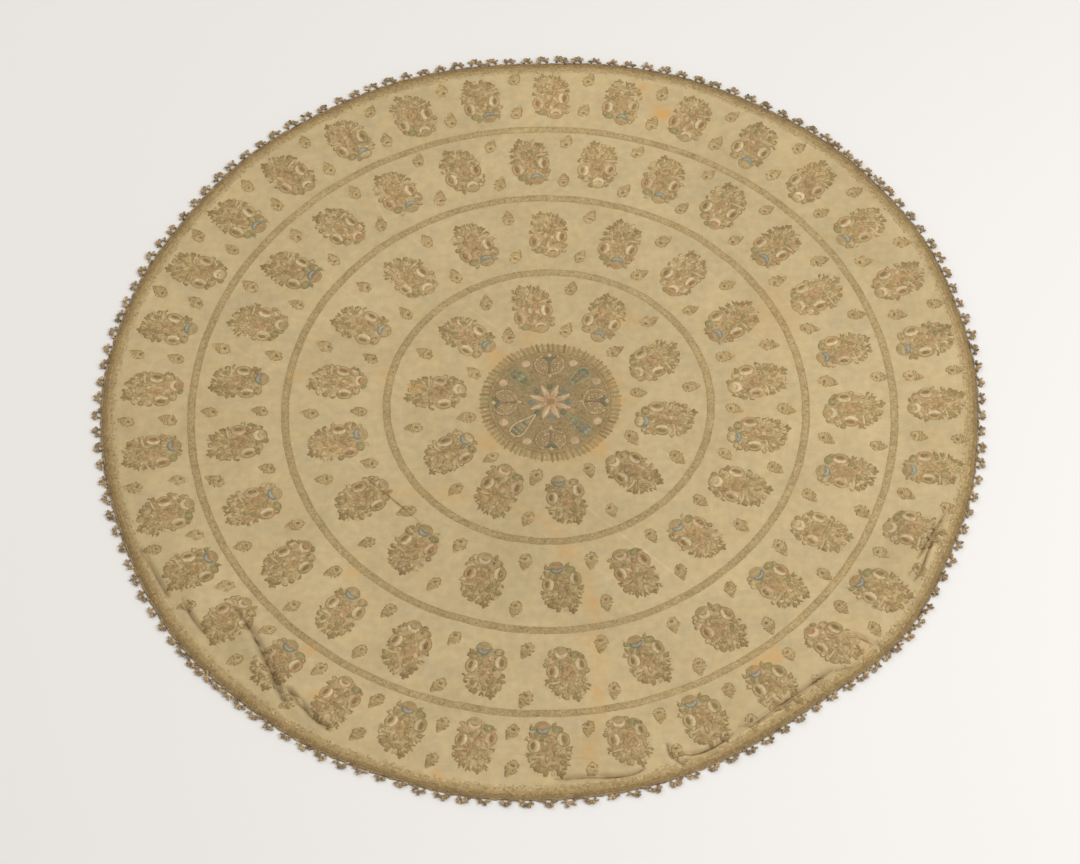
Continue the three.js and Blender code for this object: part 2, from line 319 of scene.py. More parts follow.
class ClothShape:
    """Heights of the laid sheet and where it is stained, in plan millimetres."""

    clearance, fold_reach = 0.15, 9.0
    pucker_waves, pucker_lengths, pucker_steepness = 11, (26, 110), 0.0027
    gather_height, gather_inset, gather_reach = 0.45, 40, 16
    hem_flat, dip_limit = 14, 0.8

    def __init__(self, sizes):
        self.edge_full = sizes.edge_radius / MM
        self.border = sizes.border_width / MM
        self.thickness = sizes.sheet_thickness / MM
        self.creases = [(row, spline_points(row.path, CREASE_STEPS)) for row in CREASES]
        draw = np.random.default_rng(sizes.seed)
        headings = draw.uniform(0, TURN, self.pucker_waves)
        wavelengths = draw.uniform(*self.pucker_lengths, self.pucker_waves)
        self.waves = np.c_[np.cos(headings), np.sin(headings)] * (TURN / wavelengths)[:, None]
        self.phases = draw.uniform(0, TURN, self.pucker_waves)
        self.wave_heights = self.pucker_steepness * wavelengths

    def edge_radius(self, angle):
        """Radius of the sheet's edge at an angle."""
        radius = self.edge_full + EDGE_RIPPLE * np.sin(EDGE_RIPPLE_WAVES * angle)
        for dent in EDGE_DENTS:
            radius = radius - dent.amount * bell(angle, dent)
        return radius

    def underside(self, x, y):
        """Height of the sheet's underside over the surface that it lies on."""
        angle = np.arctan2(y, x)
        edge = self.edge_radius(angle)
        radius = np.hypot(x, y)
        inset = np.maximum(edge - radius, 0)
        puff = PUFF_BASE + sum(row.amount * bell(angle, row) for row in PUFFS)
        roll = ROLL_BASE + sum(row.amount * bell(angle, row) for row in ROLLS)
        from_edge = smooth_step(0, self.border, inset)
        height = puff * np.exp(-(((inset - PUFF_DISTANCE) / PUFF_REACH) ** 2)) * from_edge
        height = height + roll * np.sin(np.pi * np.minimum(inset / self.border, 1))
        for swell_x, swell_y, reach, rise in SWELLS:
            height = height + rise * np.exp(-((np.hypot(x - swell_x, y - swell_y) / reach) ** 2))
        for row, points in self.creases:
            distance, along = nearest_on_path(x, y, points)
            across = np.abs(distance) / row.width
            taper = smooth_step(0, CREASE_TAPER, along) * smooth_step(0, CREASE_TAPER, 1 - along)
            height = height * (1 - taper * np.exp(-((across / CREASE_VALLEY) ** 2)))
            shoulder = across**SHOULDER_POWER * np.exp(SHOULDER_POWER / 2 * (1 - across**2))
            height = height + row.shoulder * taper * shoulder * from_edge
        lifted = smooth_step(LIFTED_FROM * edge, 2 * LIFTED_FROM * edge, radius)
        return self.clearance + height * lifted

    def fine_relief(self, x, y):
        """Puckers and gathers of the upper face."""
        angle = np.arctan2(y, x)
        inset = self.edge_radius(angle) - np.hypot(x, y)
        height = 0
        for wave, phase, rise in zip(self.waves, self.phases, self.wave_heights):
            height = height + rise * np.sin(x * wave[0] + y * wave[1] + phase)
        gathers = np.sin(61 * angle + 3 * np.sin(7 * angle)) * np.sin(23 * angle + 1.7)
        nearness = np.exp(-(((inset - self.gather_inset) / self.gather_reach) ** 2))
        return (height + self.gather_height * gathers * nearness) * smooth_step(0, self.hem_flat, inset)

    def top(self, x, y):
        """Height of the sheet's upper face."""
        relief = np.maximum(self.fine_relief(x, y), -self.dip_limit * self.thickness)
        return self.underside(x, y) + self.thickness + relief

    def stain(self, x, y):
        """How strongly the cloth is stained, from 0 to 1."""
        clean = np.ones(np.shape(x))
        for blot_x, blot_y, reach, strength in STAINS:
            clean = clean * (1 - strength * np.exp(-((np.hypot(x - blot_x, y - blot_y) / reach) ** 4)))
        distance, _ = nearest_on_path(x, y, spline_points(STAIN_STREAK, 20))
        clean = clean * (1 - STREAK_STRENGTH * np.exp(-((distance / STREAK_REACH) ** 2)))
        out = np.hypot(x - HALO_MIDDLE[0], y - HALO_MIDDLE[1]) - HALO_RADIUS
        clean = clean * (1 - HALO_STRENGTH * np.exp(-((out / HALO_REACH) ** 2)))
        return 1 - clean

    def fade(self, x, y):
        """Painted light and shade: how much paler the cloth is painted than its even colour, below 0 where
        it's darker.
        """
        return sum(amount * np.exp(-((np.hypot(x - spot_x, y - spot_y) / reach) ** 2))
                   for spot_x, spot_y, reach, amount in PAINTED_LIGHT_SPOTS)

    def fold(self, x, y):
        """The nearest thin line in the cloth: its signed distance and its strength, faded away from it."""
        # Each line's strength sets how strongly it is painted: darker in a crease, as grime and painted
        # shade, and paler on a ridge, as a painted highlight
        lines = [(points, row.dirt, FINE_CREASE / row.width) for row, points in self.creases]
        lines += [(np.array([start, end], float), strength, 1.0) for start, end, strength in FOLD_LINES]
        nearest, depth = np.full(np.shape(x), self.fold_reach * 2.0), np.zeros(np.shape(x))
        for points, strength, fineness in lines:
            distance, along = nearest_on_path(x, y, points)
            reach = np.exp(-((distance / self.fold_reach) ** 2)) * np.sin(np.pi * np.clip(along, 0, 1)) ** 0.4
            stronger = np.abs(strength) * reach > np.abs(depth)
            nearest = np.where(stronger, distance * fineness, nearest)
            depth = np.where(stronger, strength * reach, depth)
        return nearest, depth

    def attributes(self, x, y):
        """Numbers stored on a mesh that lies at some places of the cloth."""
        fold_distance, fold_depth = self.fold(x, y)
        # Besides the stains, the cloth carries its painted light and shade and how strongly its fold lines
        # are painted darker or paler
        return {"stain": self.stain(x, y), "fade": self.fade(x, y), "fold_distance": fold_distance,
                "fold_depth": fold_depth}


# Plans and grids that stitches and lace share

def even_turns(count):
    """Even angles round a full turn."""
    return np.arange(count) / count * TURN


def round_steps(count):
    """Each index round a loop, and the index after it."""
    step = np.arange(count)
    return step, (step + 1) % count


def ray(angle, reach=1.0):
    """A step in the direction of an angle."""
    return reach * np.array([math.cos(angle), math.sin(angle)])


def polar(radius, angle, middle=(0, 0)):
    """A place at a radius and an angle in degrees."""
    turn = math.radians(angle)
    return middle[0] + radius * math.cos(turn), middle[1] + radius * math.sin(turn)


def turned(plan, angle):
    """A plan turned about its origin."""
    cos, sin = math.cos(angle), math.sin(angle)
    return np.c_[plan[:, 0] * cos - plan[:, 1] * sin, plan[:, 0] * sin + plan[:, 1] * cos]


def oval(half_width, half_height, points, taper=0.0, grow=1.0):
    """An oval outline that is narrower toward its far end by the taper."""
    angles = even_turns(points)
    width = half_width * (1 - taper * np.sin(angles))
    return np.c_[width * np.cos(angles), half_height * np.sin(angles)] * np.reshape(grow, (-1, 1))


def lobed(draw, points, lobes, depth):
    """Growth factors of a scalloped outline."""
    scallops = 1 + depth * np.cos(lobes * even_turns(points) + draw.uniform(0, TURN))
    return scallops + draw.uniform(-0.02, 0.02, points)


def leaf_path(start, end, bow, steps=6):
    """A path between two places, bowed to its left by a share of its length."""
    start, end = np.asarray(start, float), np.asarray(end, float)
    share = np.linspace(0, 1, steps)[:, None]
    side = np.array([start[1] - end[1], end[0] - start[0]])
    return start + (end - start) * share + side * bow * np.sin(np.pi * share)


def neighbours(path, closed):
    """The points after and before each point of a path."""
    if closed:
        return np.roll(path, -1, axis=0), np.roll(path, 1, axis=0)
    return np.vstack([path[1:], path[-1:]]), np.vstack([path[:1], path[:-1]])


def grid_quads(rows, columns, rows_close=False, columns_close=False):
    """Quads between the points of a grid, which may close on itself either way."""
    row, column = np.meshgrid(np.arange(rows if rows_close else rows - 1),
                              np.arange(columns if columns_close else columns - 1), indexing="ij")
    next_row, next_column = (row + 1) % rows, (column + 1) % columns
    return np.stack([row * columns + column, next_row * columns + column, next_row * columns + next_column,
                     row * columns + next_column], axis=-1).reshape(-1, 4)


# Stitches in plan

SATIN_RIDGE, THIN_RIDGE = (-1, -0.76, 0, 0.76, 1), (-1, 0, 1)


class Stitches:
    """Raised stitches: plan places with their lift above the cloth, thread directions, tones and threads.

    Several threads, in a list or with their shares in a dict, stand for one that is drawn from them.
    A pair of limits in place of a tone or taper stands for a number that is drawn between them.
    """

    sink, crown, shelf, shelf_rise = 0.15, 0.35, 0.84, 0.7
    ring_step, cord_rise, blunt_end = 0.12, 1.3, 1.02

    def __init__(self, draw):
        self.draw, self.base, self.count = draw, 0.0, 0
        self.points, self.weave, self.tones = [], [], []
        self.faces, self.threads = {3: [], 4: []}, {3: [], 4: []}

    def kind(self, threads):
        """One thread, drawn where several are given."""
        if isinstance(threads, dict):
            return self.draw.choice(list(threads), p=list(threads.values()))
        return threads if isinstance(threads, str) else self.draw.choice(threads)

    def number(self, value):
        """A number, drawn where a pair of limits is given."""
        return self.draw.uniform(*value) if isinstance(value, tuple) else value

    def add(self, points, weave, tones, faces, threads):
        """Adds vertices with their faces, given as arrays of triangles and quads."""
        for corners, thread in zip(faces, threads):
            size = corners.shape[1]
            self.faces[size].append(corners + self.count)
            self.threads[size].append(np.broadcast_to(thread, len(corners)))
        self.points.append(points + [0, 0, self.base])
        self.weave.append(weave)
        self.tones.append(np.broadcast_to(tones, len(points)))
        self.count += len(points)

    def packed(self):
        """The stitches as whole arrays."""
        if len(self.points) > 1:
            self.points, self.weave, self.tones = ([np.concatenate(rows)]
                                                   for rows in (self.points, self.weave, self.tones))
            for size in self.faces:
                if self.faces[size]:
                    self.faces[size] = [np.concatenate(self.faces[size])]
                    self.threads[size] = [np.concatenate(self.threads[size])]
        return self.points[0], self.weave[0], self.tones[0]

    def place(self, motif, middle, outward, tone=1.0, size=1.0):
        """Adds a copy of a motif, turned so that its own y points outward at an angle."""
        points, weave, tones = motif.packed()
        x_axis = np.array([math.sin(outward), -math.cos(outward)])
        plan = size * (points[:, :1] * x_axis + points[:, 1:2] * ray(outward)) + np.asarray(middle, float)
        sizes = [key for key in motif.faces if motif.faces[key]]
        self.add(np.c_[plan, points[:, 2]], weave, tones * tone, [motif.faces[key][0] for key in sizes],
                 [motif.threads[key][0] for key in sizes])

    def run(self, path, half_widths, height, thread, tone, closed=False, ridge=SATIN_RIDGE):
        """A satin run along a path, with threads across it."""
        thread, tone = self.kind(thread), self.number(tone)
        path, offsets = np.asarray(path, float), np.array(ridge, float)
        ahead, behind = neighbours(path, closed)
        tangent = ahead - behind
        tangent /= np.maximum(np.hypot(*tangent.T), 1e-6)[:, None]
        left = np.c_[-tangent[:, 1], tangent[:, 0]]
        across = np.broadcast_to(np.asarray(half_widths, float), len(path))[:, None] * offsets
        lifts = np.where(np.abs(offsets) == 1, -self.sink, height * (1 - self.crown * offsets**2))
        plan = path[:, None, :] + left[:, None, :] * across[..., None]
        steps = np.hypot(*(path - behind).T)
        if closed:
            steps[0] = 0
        travelled = np.broadcast_to(np.cumsum(steps)[:, None], across.shape)
        points = np.dstack([plan, np.broadcast_to(lifts, across.shape)]).reshape(-1, 3)
        self.add(points, np.dstack([across, travelled]).reshape(-1, 2), tone,
                 [grid_quads(len(path), len(offsets), closed)], [THREADS.index(thread)])

    def cord(self, path, radius, thread, tone, closed=False, height=None):
        """A thin thread couched along a path, or a short stroke of one where its half widths are given."""
        self.run(path, radius, height or self.cord_rise * radius, thread, tone, closed, THIN_RIDGE)

    def pad(self, middle, half_length, half_width, turn, height, thread, tone, points=8, taper=0.0,
            scallop=None):
        """A padded oval or leaf along a turn, narrower at its far end by the taper, or with scallops."""
        thread, tone, taper = self.kind(thread), self.number(tone), self.number(taper)
        grow = lobed(self.draw, points, *scallop) if scallop else 1
        cos, sin = np.cos(even_turns(points)), np.sin(even_turns(points))
        shape = np.c_[half_length * cos * grow, half_width * sin * (1 - taper * cos) * grow]
        plan = np.vstack([shape, self.shelf * shape, [[0, 0]]])
        lifts = np.r_[np.full(points, -self.sink), np.full(points, self.shelf_rise * height), height]
        index, following = round_steps(points)
        quads = np.c_[index, following, following + points, index + points]
        triangles = np.c_[index + points, following + points, np.full(points, 2 * points)]
        self.add(np.c_[turned(plan, turn) + np.asarray(middle, float), lifts], plan[:, ::-1], tone,
                 [quads, triangles], [THREADS.index(thread)] * 2)

    def disc(self, radii, outline, height, thread, tones):
        """A flat patch of close stitches, worked in rings that scale its outline, each with its tone."""
        steps = len(outline)
        plan = np.vstack([[[0, 0]], *[outline * radius for radius in radii]])
        rises = [*(height * (1 + self.ring_step * (np.arange(len(radii) - 1) % 2))), -self.sink]
        weave = np.vstack([[[0, 0]], *[np.c_[np.full(steps, radius), even_turns(steps) * radius]
                                       for radius in radii]])
        step, following = round_steps(steps)
        triangles = np.c_[np.zeros(steps, int), 1 + step, 1 + following]
        quads = 1 + grid_quads(len(radii), steps, columns_close=True)
        self.add(np.c_[plan, np.r_[height, np.repeat(rises, steps)]], weave,
                 np.r_[tones[0], np.repeat(tones, steps)], [triangles, quads], [THREADS.index(thread)] * 2)

    def dot(self, middle, radius, height, thread, tone, points=6):
        """A small round knot."""
        thread, tone = self.kind(thread), self.number(tone)
        plan = oval(radius, radius, points) + np.asarray(middle, float)
        places = np.vstack([np.c_[plan, np.full(points, -self.sink)], [[*middle, height]]])
        weave = np.vstack([np.c_[even_turns(points), np.zeros(points)], [[0, radius]]])
        triangles = np.c_[(*round_steps(points), np.full(points, points))]
        self.add(places, weave, tone, [triangles], [THREADS.index(thread)])

    def oval_cord(self, middle, radii, turn, radius, thread, tone, steps):
        """A couched outline round an oval."""
        path = turned(oval(*radii, steps), turn) + np.asarray(middle, float)
        self.cord(path, radius, thread, tone, closed=True)

    def arc(self, middle, radii, start, end, radius, thread, tone, height=0.9, steps=8):
        """A couched thread along part of an oval."""
        angles = np.linspace(start, end, steps)
        path = np.c_[np.cos(angles), np.sin(angles)] * np.asarray(radii, float) + np.asarray(middle, float)
        self.cord(path, radius, thread, tone, height=height)

    def crescent(self, middle, radii, heading, spread, thickness, height, thread, tone, steps):
        """A crescent that follows an arc about its middle, thickest at its heading."""
        share = np.linspace(-1, 1, steps)
        angles = heading + share * spread
        path = np.c_[np.cos(angles), np.sin(angles)] * np.asarray(radii, float) + np.asarray(middle, float)
        self.run(path, 0.5 * thickness * np.sqrt(self.blunt_end - share**2), height, thread, tone)


# Flower sprays

# A spray fills a rounded oval, with leaves on smaller ovals inside it: share of the way out, and how many
SPRAY_HALF_WIDTH, SPRAY_HALF_HEIGHT, SPRAY_LEAN, SPRAY_SQUARENESS = 29.5, 42.5, -0.06, 0.8
LEAF_OVALS = [(0.68, 16), (0.44, 11), (0.19, 5)]
LEAF_SOURCE, RIM_OVAL = (1.0, -26.0), (29, 42)
CURLS, SPRAY_STROKES = 25, 31
LEFT_BLOOM, RIGHT_BLOOM, BASE_BLOOM = (-18.5, -13.0), (19.5, -4.0), (7.5, -31.5)
SPRAY_FOOT, SPRAY_TIP = (-12.0, -28.5), (-12.5, 38.5)

# Where the flowers keep a spray free of leaves: x, y, reach
SPRAY_BLOOMS = [(*LEFT_BLOOM, 10.5), (*RIGHT_BLOOM, 10.5), (7.5, -31.0, 11.5), (*SPRAY_FOOT, 7.5)]
SPRAY_STEMS = [
    [(2, -22), (-4, -8), (-12, 8), (-13, 30)],
    [(4, -22), (8, -4), (4, 14), (8, 33)],
    [(6, -20), (14, 4), (18, 24)],
]

# Shares of the threads in the outer petals, the outer leaves, the inner leaves and the strokes between them
CURL_THREADS = {"filling": 0.38, "bronze": 0.3, "fawn": 0.24, "moss": 0.08}
PETAL_THREADS = {"umber": 0.3, "bronze": 0.4, "moss": 0.12, "fawn": 0.18}
RIM_LEAF_THREADS = {"bronze": 0.34, "filling": 0.24, "fawn": 0.26, "moss": 0.08, "rose": 0.08}
LEAF_THREADS = {"bronze": 0.24, "filling": 0.3, "fawn": 0.22, "moss": 0.06, "rose": 0.18}
STROKE_THREADS = {"cream": 0.06, "fawn": 0.36, "umber": 0.28, "bronze": 0.3}
STROKE_WIDTHS, RIM_STROKE_WIDTHS = (0.6, 1.3, 1.2, 0.5), (0.7, 1.3, 1.2, 0.5)


def bloom(stitches, middle, turn, inward, light):
    """A side flower: tan petals, a dark almond heart, and a light crescent toward the spray's middle."""
    axis = turn + QUARTER
    stitches.pad(middle, 13.0, 9.4, axis, 0.5, ["filling", "bronze", "rose"], (1.0, 1.08), 20,
                 scallop=(6, 0.04))
    stitches.oval_cord(middle, (11.8, 8.2), axis, 0.6, ["umber", "bronze", "bronze"], (1.0, 1.12), 18)
    near = (middle[0] + inward * 0.4, middle[1] - inward * 0.3)
    toward, away = (QUARTER - side * QUARTER + turn for side in (inward, -inward))
    stitches.crescent(near, (5.0, 8.6), toward, 1.5, 6.2, 0.85, light, (0.87, 0.97), 12)
    heart = (middle[0] - inward * 1.7, middle[1])
    stitches.pad(heart, 6.8, 3.0, axis, 1.0, "umber", (0.84, 0.98), 9)
    stitches.crescent(heart, (5.2, 8.0), away, 1.0, 1.8, 0.8, "fawn", (0.92, 1.0), 8)
    if stitches.draw.uniform() < 0.35:
        stitches.pad(heart, 3.6, 1.5, axis, 1.15, ["coral", "rose"], 0.92, 7)


def base_bloom(stitches, middle, light):
    """The flower at the foot of a spray: a tan bowl with a thick crescent on the spray's side."""
    draw = stitches.draw
    stitches.pad(middle, 11.4, 10.8, 0, 0.5, "filling", (0.96, 1.04), 22, scallop=(7, 0.03))
    stitches.arc(middle, (10.6, 10.0), -3.3, 0.2, 0.5, "bronze", (0.95, 1.05), steps=12)
    bowl = (middle[0], middle[1] - 2.6)
    stitches.pad(bowl, 8.8, 6.6, 0, 0.7, ["filling", "fawn", "rose"], (0.96, 1.04), 14)
    for radius in (3.4, 6.4):
        stitches.arc(bowl, (radius, 0.75 * radius), -2.7 + draw.uniform(-0.4, 0.4), -0.4, 0.5, "bronze",
                     (0.9, 1.05), 1.0)
    crest, lean = (middle[0], middle[1] - 0.8), draw.uniform(-0.35, 0.35)
    if light == "sky":
        stitches.crescent(crest, (7.8, 7.4), QUARTER, 1.55, 7.4, 1.0, "steel", (0.95, 1.1), 13)
        stitches.crescent(crest, (7.2, 7.0), QUARTER + lean, 1.15, 4.6, 1.2, "sky", (0.95, 1.08), 11)
        stitches.crescent(crest, (7.0, 6.8), QUARTER + 1.6 * lean, 0.55, 2.2, 1.35, "mint", (1.02, 1.12), 7)
    else:
        stitches.crescent(crest, (7.2, 7.0), QUARTER, 1.6, 6.8, 1.1, light, (0.92, 1.02), 13)
        stitches.arc(crest, (9.6, 9.4), 0.2, 2.9, 0.45, "bronze", 1.05, 1.0)
    stitches.arc(middle, (4.0, 2.2), 0.2, 2.9, 0.6, ["umber", "rose"], (0.85, 1.0), 1.2)


def curl(stitches, middle, radius, heading):
    """A petal of the outer row, with a dark C-shaped line in it and a light or dark heart."""
    draw = stitches.draw
    fill = stitches.kind(CURL_THREADS)
    stitches.pad(middle, radius * draw.uniform(0.95, 1.3), radius * draw.uniform(0.7, 0.95),
                 heading + draw.uniform(-0.8, 0.8), 0.6, fill, (0.95, 1.05), 10, (0.0, 0.25))
    turn = heading + draw.uniform(-0.9, 0.9)
    rim, core = 0.84 * radius, 0.42 * radius
    stitches.arc(middle, (rim, rim), turn - 1.3, turn + 1.3, draw.uniform(0.65, 1.0),
                 {"umber": 0.45, "bronze": 0.55}, (0.93, 1.06), 0.95)
    stitches.crescent(middle, (core, core), turn, 1.4, 1.9, 0.95,
                      {"fawn": 0.38, "cream": 0.12, "umber": 0.3, "bronze": 0.2}, (0.93, 1.04), 6)


def leaf(stitches, middle, half_length, half_width, turn, threads):
    """A leaf with a fine dark edge on one or both sides and, on some, a light or dark slash."""
    draw, middle, heading = stitches.draw, np.asarray(middle, float), ray(turn)
    stitches.pad(middle, half_length, half_width, turn, 0.7, threads, (0.94, 1.06), 10, 0.3)
    start, end = middle - 0.9 * half_length * heading, middle + 0.95 * half_length * heading
    first = draw.choice([-1, 1])
    for side in (first, -first)[:draw.integers(1, 3)]:
        stitches.cord(leaf_path(start, end, side * 0.42 * half_width / half_length), 0.7,
                      {"umber": 0.4, "bronze": 0.6}, (0.96, 1.08), height=0.9)
    if draw.uniform() < 0.3:
        slash = heading * 0.5 * half_length
        stitches.cord([middle - slash, middle, middle + slash], (0.4, 1.0, 0.4),
                      {"cream": 0.25, "fawn": 0.4, "umber": 0.35}, (0.95, 1.05), height=0.92)


def spray_place(at, reach):
    """A place in a spray at an angle, by its share of the way from the middle to the outline."""
    cos, sin = math.cos(at), math.sin(at)
    x = SPRAY_HALF_WIDTH * reach * math.copysign(abs(cos) ** SPRAY_SQUARENESS, cos)
    y = SPRAY_HALF_HEIGHT * reach * math.copysign(abs(sin) ** SPRAY_SQUARENESS, sin)
    return 1 + x + SPRAY_LEAN * y, y


def spray_ground(stitches):
    """The close filling of a spray, a rust patch in its middle, and its stems."""
    draw = stitches.draw
    outline = np.array([spray_place(at, 0.85) for at in even_turns(40)]) * lobed(draw, 40, 13, 0.03)[:, None]
    stitches.disc((0.25, 0.5, 0.72, 0.88, 1.0), outline, 0.3, "filling", draw.uniform(0.97, 1.03, 5))
    patch = oval(13.0, 18.0, 16, 0.1, lobed(draw, 16, 5, 0.1)) + [draw.uniform(-2, 2), 0]
    stitches.disc((0.35, 0.7, 1.0), patch, 0.5, "rose", draw.uniform(0.98, 1.05, 3))
    for stem in SPRAY_STEMS:
        sway = draw.uniform(-1.5, 1.5, (len(stem), 2))
        stitches.cord(spline_points(np.array(stem) + sway, 7), 0.7, "bronze", (0.9, 1.05), height=0.85)


def covered(x, y):
    """Whether a place in a spray lies under one of its flowers."""
    return any(math.dist((x, y), spot[:2]) < spot[2] for spot in SPRAY_BLOOMS)


def rim_petal(stitches, x, y, outward):
    """One place in the outer row of a spray: a pair of narrow petals at the far end, a curl or a leaf."""
    draw = stitches.draw
    if y > 4 and draw.uniform() < 0.5:
        for side in (-0.5, 0.5):
            heading = outward + side + draw.uniform(-0.3, 0.3)
            place = (x, y) + ray(heading + side * 2, 1.6)
            stitches.pad(place, draw.uniform(3.8, 5.0), draw.uniform(1.3, 1.8), heading, 0.75, PETAL_THREADS,
                         (0.96, 1.08), taper=0.3)
    elif draw.uniform() < 0.6:
        curl(stitches, (x, y), draw.uniform(3.3, 4.8), outward)
    else:
        size = draw.uniform(0.85, 1.15)
        leaf(stitches, (x, y), 4.9 * size, 3.2 * size, outward + draw.uniform(-1.2, 1.2), RIM_LEAF_THREADS)


def spray_leaves(stitches):
    """The petals and leaves round a spray, the leaves inside it, and the short strokes between them."""
    draw = stitches.draw
    start = draw.uniform(0, TURN)
    for index in range(CURLS):
        at = start + (index + draw.uniform(-0.2, 0.2)) / CURLS * TURN
        x, y = spray_place(at, draw.uniform(0.83, 0.92))
        if covered(x, y):
            continue
        outward = math.atan2(y / RIM_OVAL[1], x / RIM_OVAL[0])
        rim_petal(stitches, x, y, outward)
        root = np.array([x, y]) + draw.uniform(-3, 3, 2)
        heading = outward + draw.uniform(-1.2, 1.2)
        tip = root + ray(heading, draw.uniform(2.8, 4.6))
        stitches.cord(leaf_path(root, tip, draw.uniform(-0.5, 0.5), 4), RIM_STROKE_WIDTHS,
                      ["bronze", "umber", "filling"], (0.98, 1.08), height=0.75)
    for share, count in LEAF_OVALS:
        start = draw.uniform(0, TURN / count)
        for index in range(count):
            at = start + index / count * TURN + draw.uniform(-0.12, 0.12)
            x, y = spray_place(at, share * draw.uniform(0.9, 1.1))
            if covered(x, y):
                continue
            heading = math.atan2(y - LEAF_SOURCE[1], x - LEAF_SOURCE[0]) + draw.uniform(-1.1, 1.1)
            size = draw.uniform(0.8, 1.12)
            leaf(stitches, (x, y), 5.8 * size, 3.4 * size, heading, LEAF_THREADS)
    for _ in range(SPRAY_STROKES):
        place = spray_place(draw.uniform(0, TURN), math.sqrt(draw.uniform(0.02, 0.75)))
        if covered(*place):
            continue
        heading = draw.uniform(0, TURN)
        half = ray(heading, draw.uniform(1.6, 3.0))
        thread = stitches.kind(STROKE_THREADS)
        stroke = leaf_path(place - half, place + half, draw.uniform(-0.5, 0.5), 4)
        stitches.cord(stroke, STROKE_WIDTHS, thread, (0.96, 1.06), height=0.95)


def side_twig(stitches):
    """A light twig with a darker line along it, and the small bud beside the right flower."""
    draw = stitches.draw
    rise = draw.uniform(-1.5, 1.5)
    stitches.run(leaf_path((9.5, 11.5 + rise), (26.0, 14.0 + rise), 0.06), (0.8, 1.6, 2.0, 2.0, 1.6, 0.7),
                 0.9, "fawn", (0.98, 1.06))
    stitches.cord(leaf_path((10.0, 14.6 + rise), (25.5, 17.0 + rise), 0.06), 0.8, "bronze", (0.92, 1.05))
    stitches.pad((22.5, -18.5), 4.4, 3.2, 0.9, 0.7, ["rose", "peach", "rose"], (0.93, 1.03), taper=0.3)


def foot_flower(stitches):
    """The small green flower beside the base bloom."""
    draw = stitches.draw
    foot = (SPRAY_FOOT[0] + draw.uniform(-1.5, 1.5), SPRAY_FOOT[1])
    stitches.pad(foot, 8.2, 6.2, 0.1, 0.55, ["moss", "filling", "moss"], (1.0, 1.08), 14)
    stitches.arc(foot, (7.0, 5.2), draw.uniform(0, 3), draw.uniform(5, 7.5), 0.5, "umber", (0.98, 1.12),
                 steps=12)
    for side in (-4.4, 4.4):
        stitches.pad((foot[0] + side, foot[1] + 0.5), 1.9, 2.4, 0, 0.9, ["umber", "bronze"], (0.95, 1.05), 6)
    stitches.dot(foot, 2.2, 1.0, ["fawn", "cream"], (0.92, 1.02))


def tip_leaves(stitches):
    """Three leaves round a knot at the far end of a spray."""
    draw = stitches.draw
    tip = np.array([SPRAY_TIP[0] + draw.uniform(-2, 2), SPRAY_TIP[1]])
    shade = draw.choice(["moss", "bronze", "umber"])
    for heading in (0.2, 1.7, 3.1):
        stitches.pad(tip + ray(heading, 3.0), 4.0, 2.6, heading, 0.6, shade, (0.92, 1.04), taper=0.2)
    stitches.pad(tip, 2.6, 2.0, draw.uniform(0, 3), 0.85, "umber", (0.98, 1.1), 6)


def make_spray(draw, light):
    """One flower spray, about 60 by 88 mm, with its foot at the lower end."""
    stitches = Stitches(draw)
    spray_ground(stitches)
    stitches.base = 0.2
    spray_leaves(stitches)
    side_light = draw.choice(["cream", "peach"], 2, p=[0.75, 0.25])
    bloom(stitches, LEFT_BLOOM, 0.15, 1, side_light[0])
    bloom(stitches, RIGHT_BLOOM, -0.12, -1, side_light[1])
    side_twig(stitches)
    base_bloom(stitches, BASE_BLOOM, light)
    foot_flower(stitches)
    tip_leaves(stitches)
    return stitches


# Sprigs

SPRIG_RIM_PADS, SPRIG_INNER_PADS = 15, 7


def sprig_pods(stitches, tip):
    """The pod with its leaning tip, and the mottled row round its rim."""
    draw = stitches.draw
    tone = draw.uniform(1.0, 1.08)
    pod = oval(8.8, 11.4, 24, 0.12, lobed(draw, 24, 9, 0.05)) + [0.5, -2.4]
    pod[:, 0] += 0.12 * pod[:, 1]
    stitches.disc((0.5, 1.0), pod, 0.35, "filling", draw.uniform(0.98, 1.03, 2) * tone)
    stitches.pad(0.62 * tip, 6.6, 3.8, math.atan2(tip[1], tip[0]), 0.42, "filling", tone, 12, 0.45)
    stitches.base = 0.15
    start = draw.uniform(0, TURN)
    for index in range(SPRIG_RIM_PADS):
        at = start + (index + draw.uniform(-0.3, 0.3)) / SPRIG_RIM_PADS * TURN
        reach = draw.uniform(0.84, 1.02)
        place = (0.5 + 8.6 * reach * math.cos(at) + 1.3 * math.sin(at), -2.2 + 10.8 * reach * math.sin(at))
        stitches.pad(place, draw.uniform(1.5, 2.7), draw.uniform(0.8, 1.3),
                     at + QUARTER + draw.uniform(-0.9, 0.9), 0.55,
                     {"bronze": 0.46, "umber": 0.22, "filling": 0.24, "moss": 0.08}, (0.98, 1.1), 5)


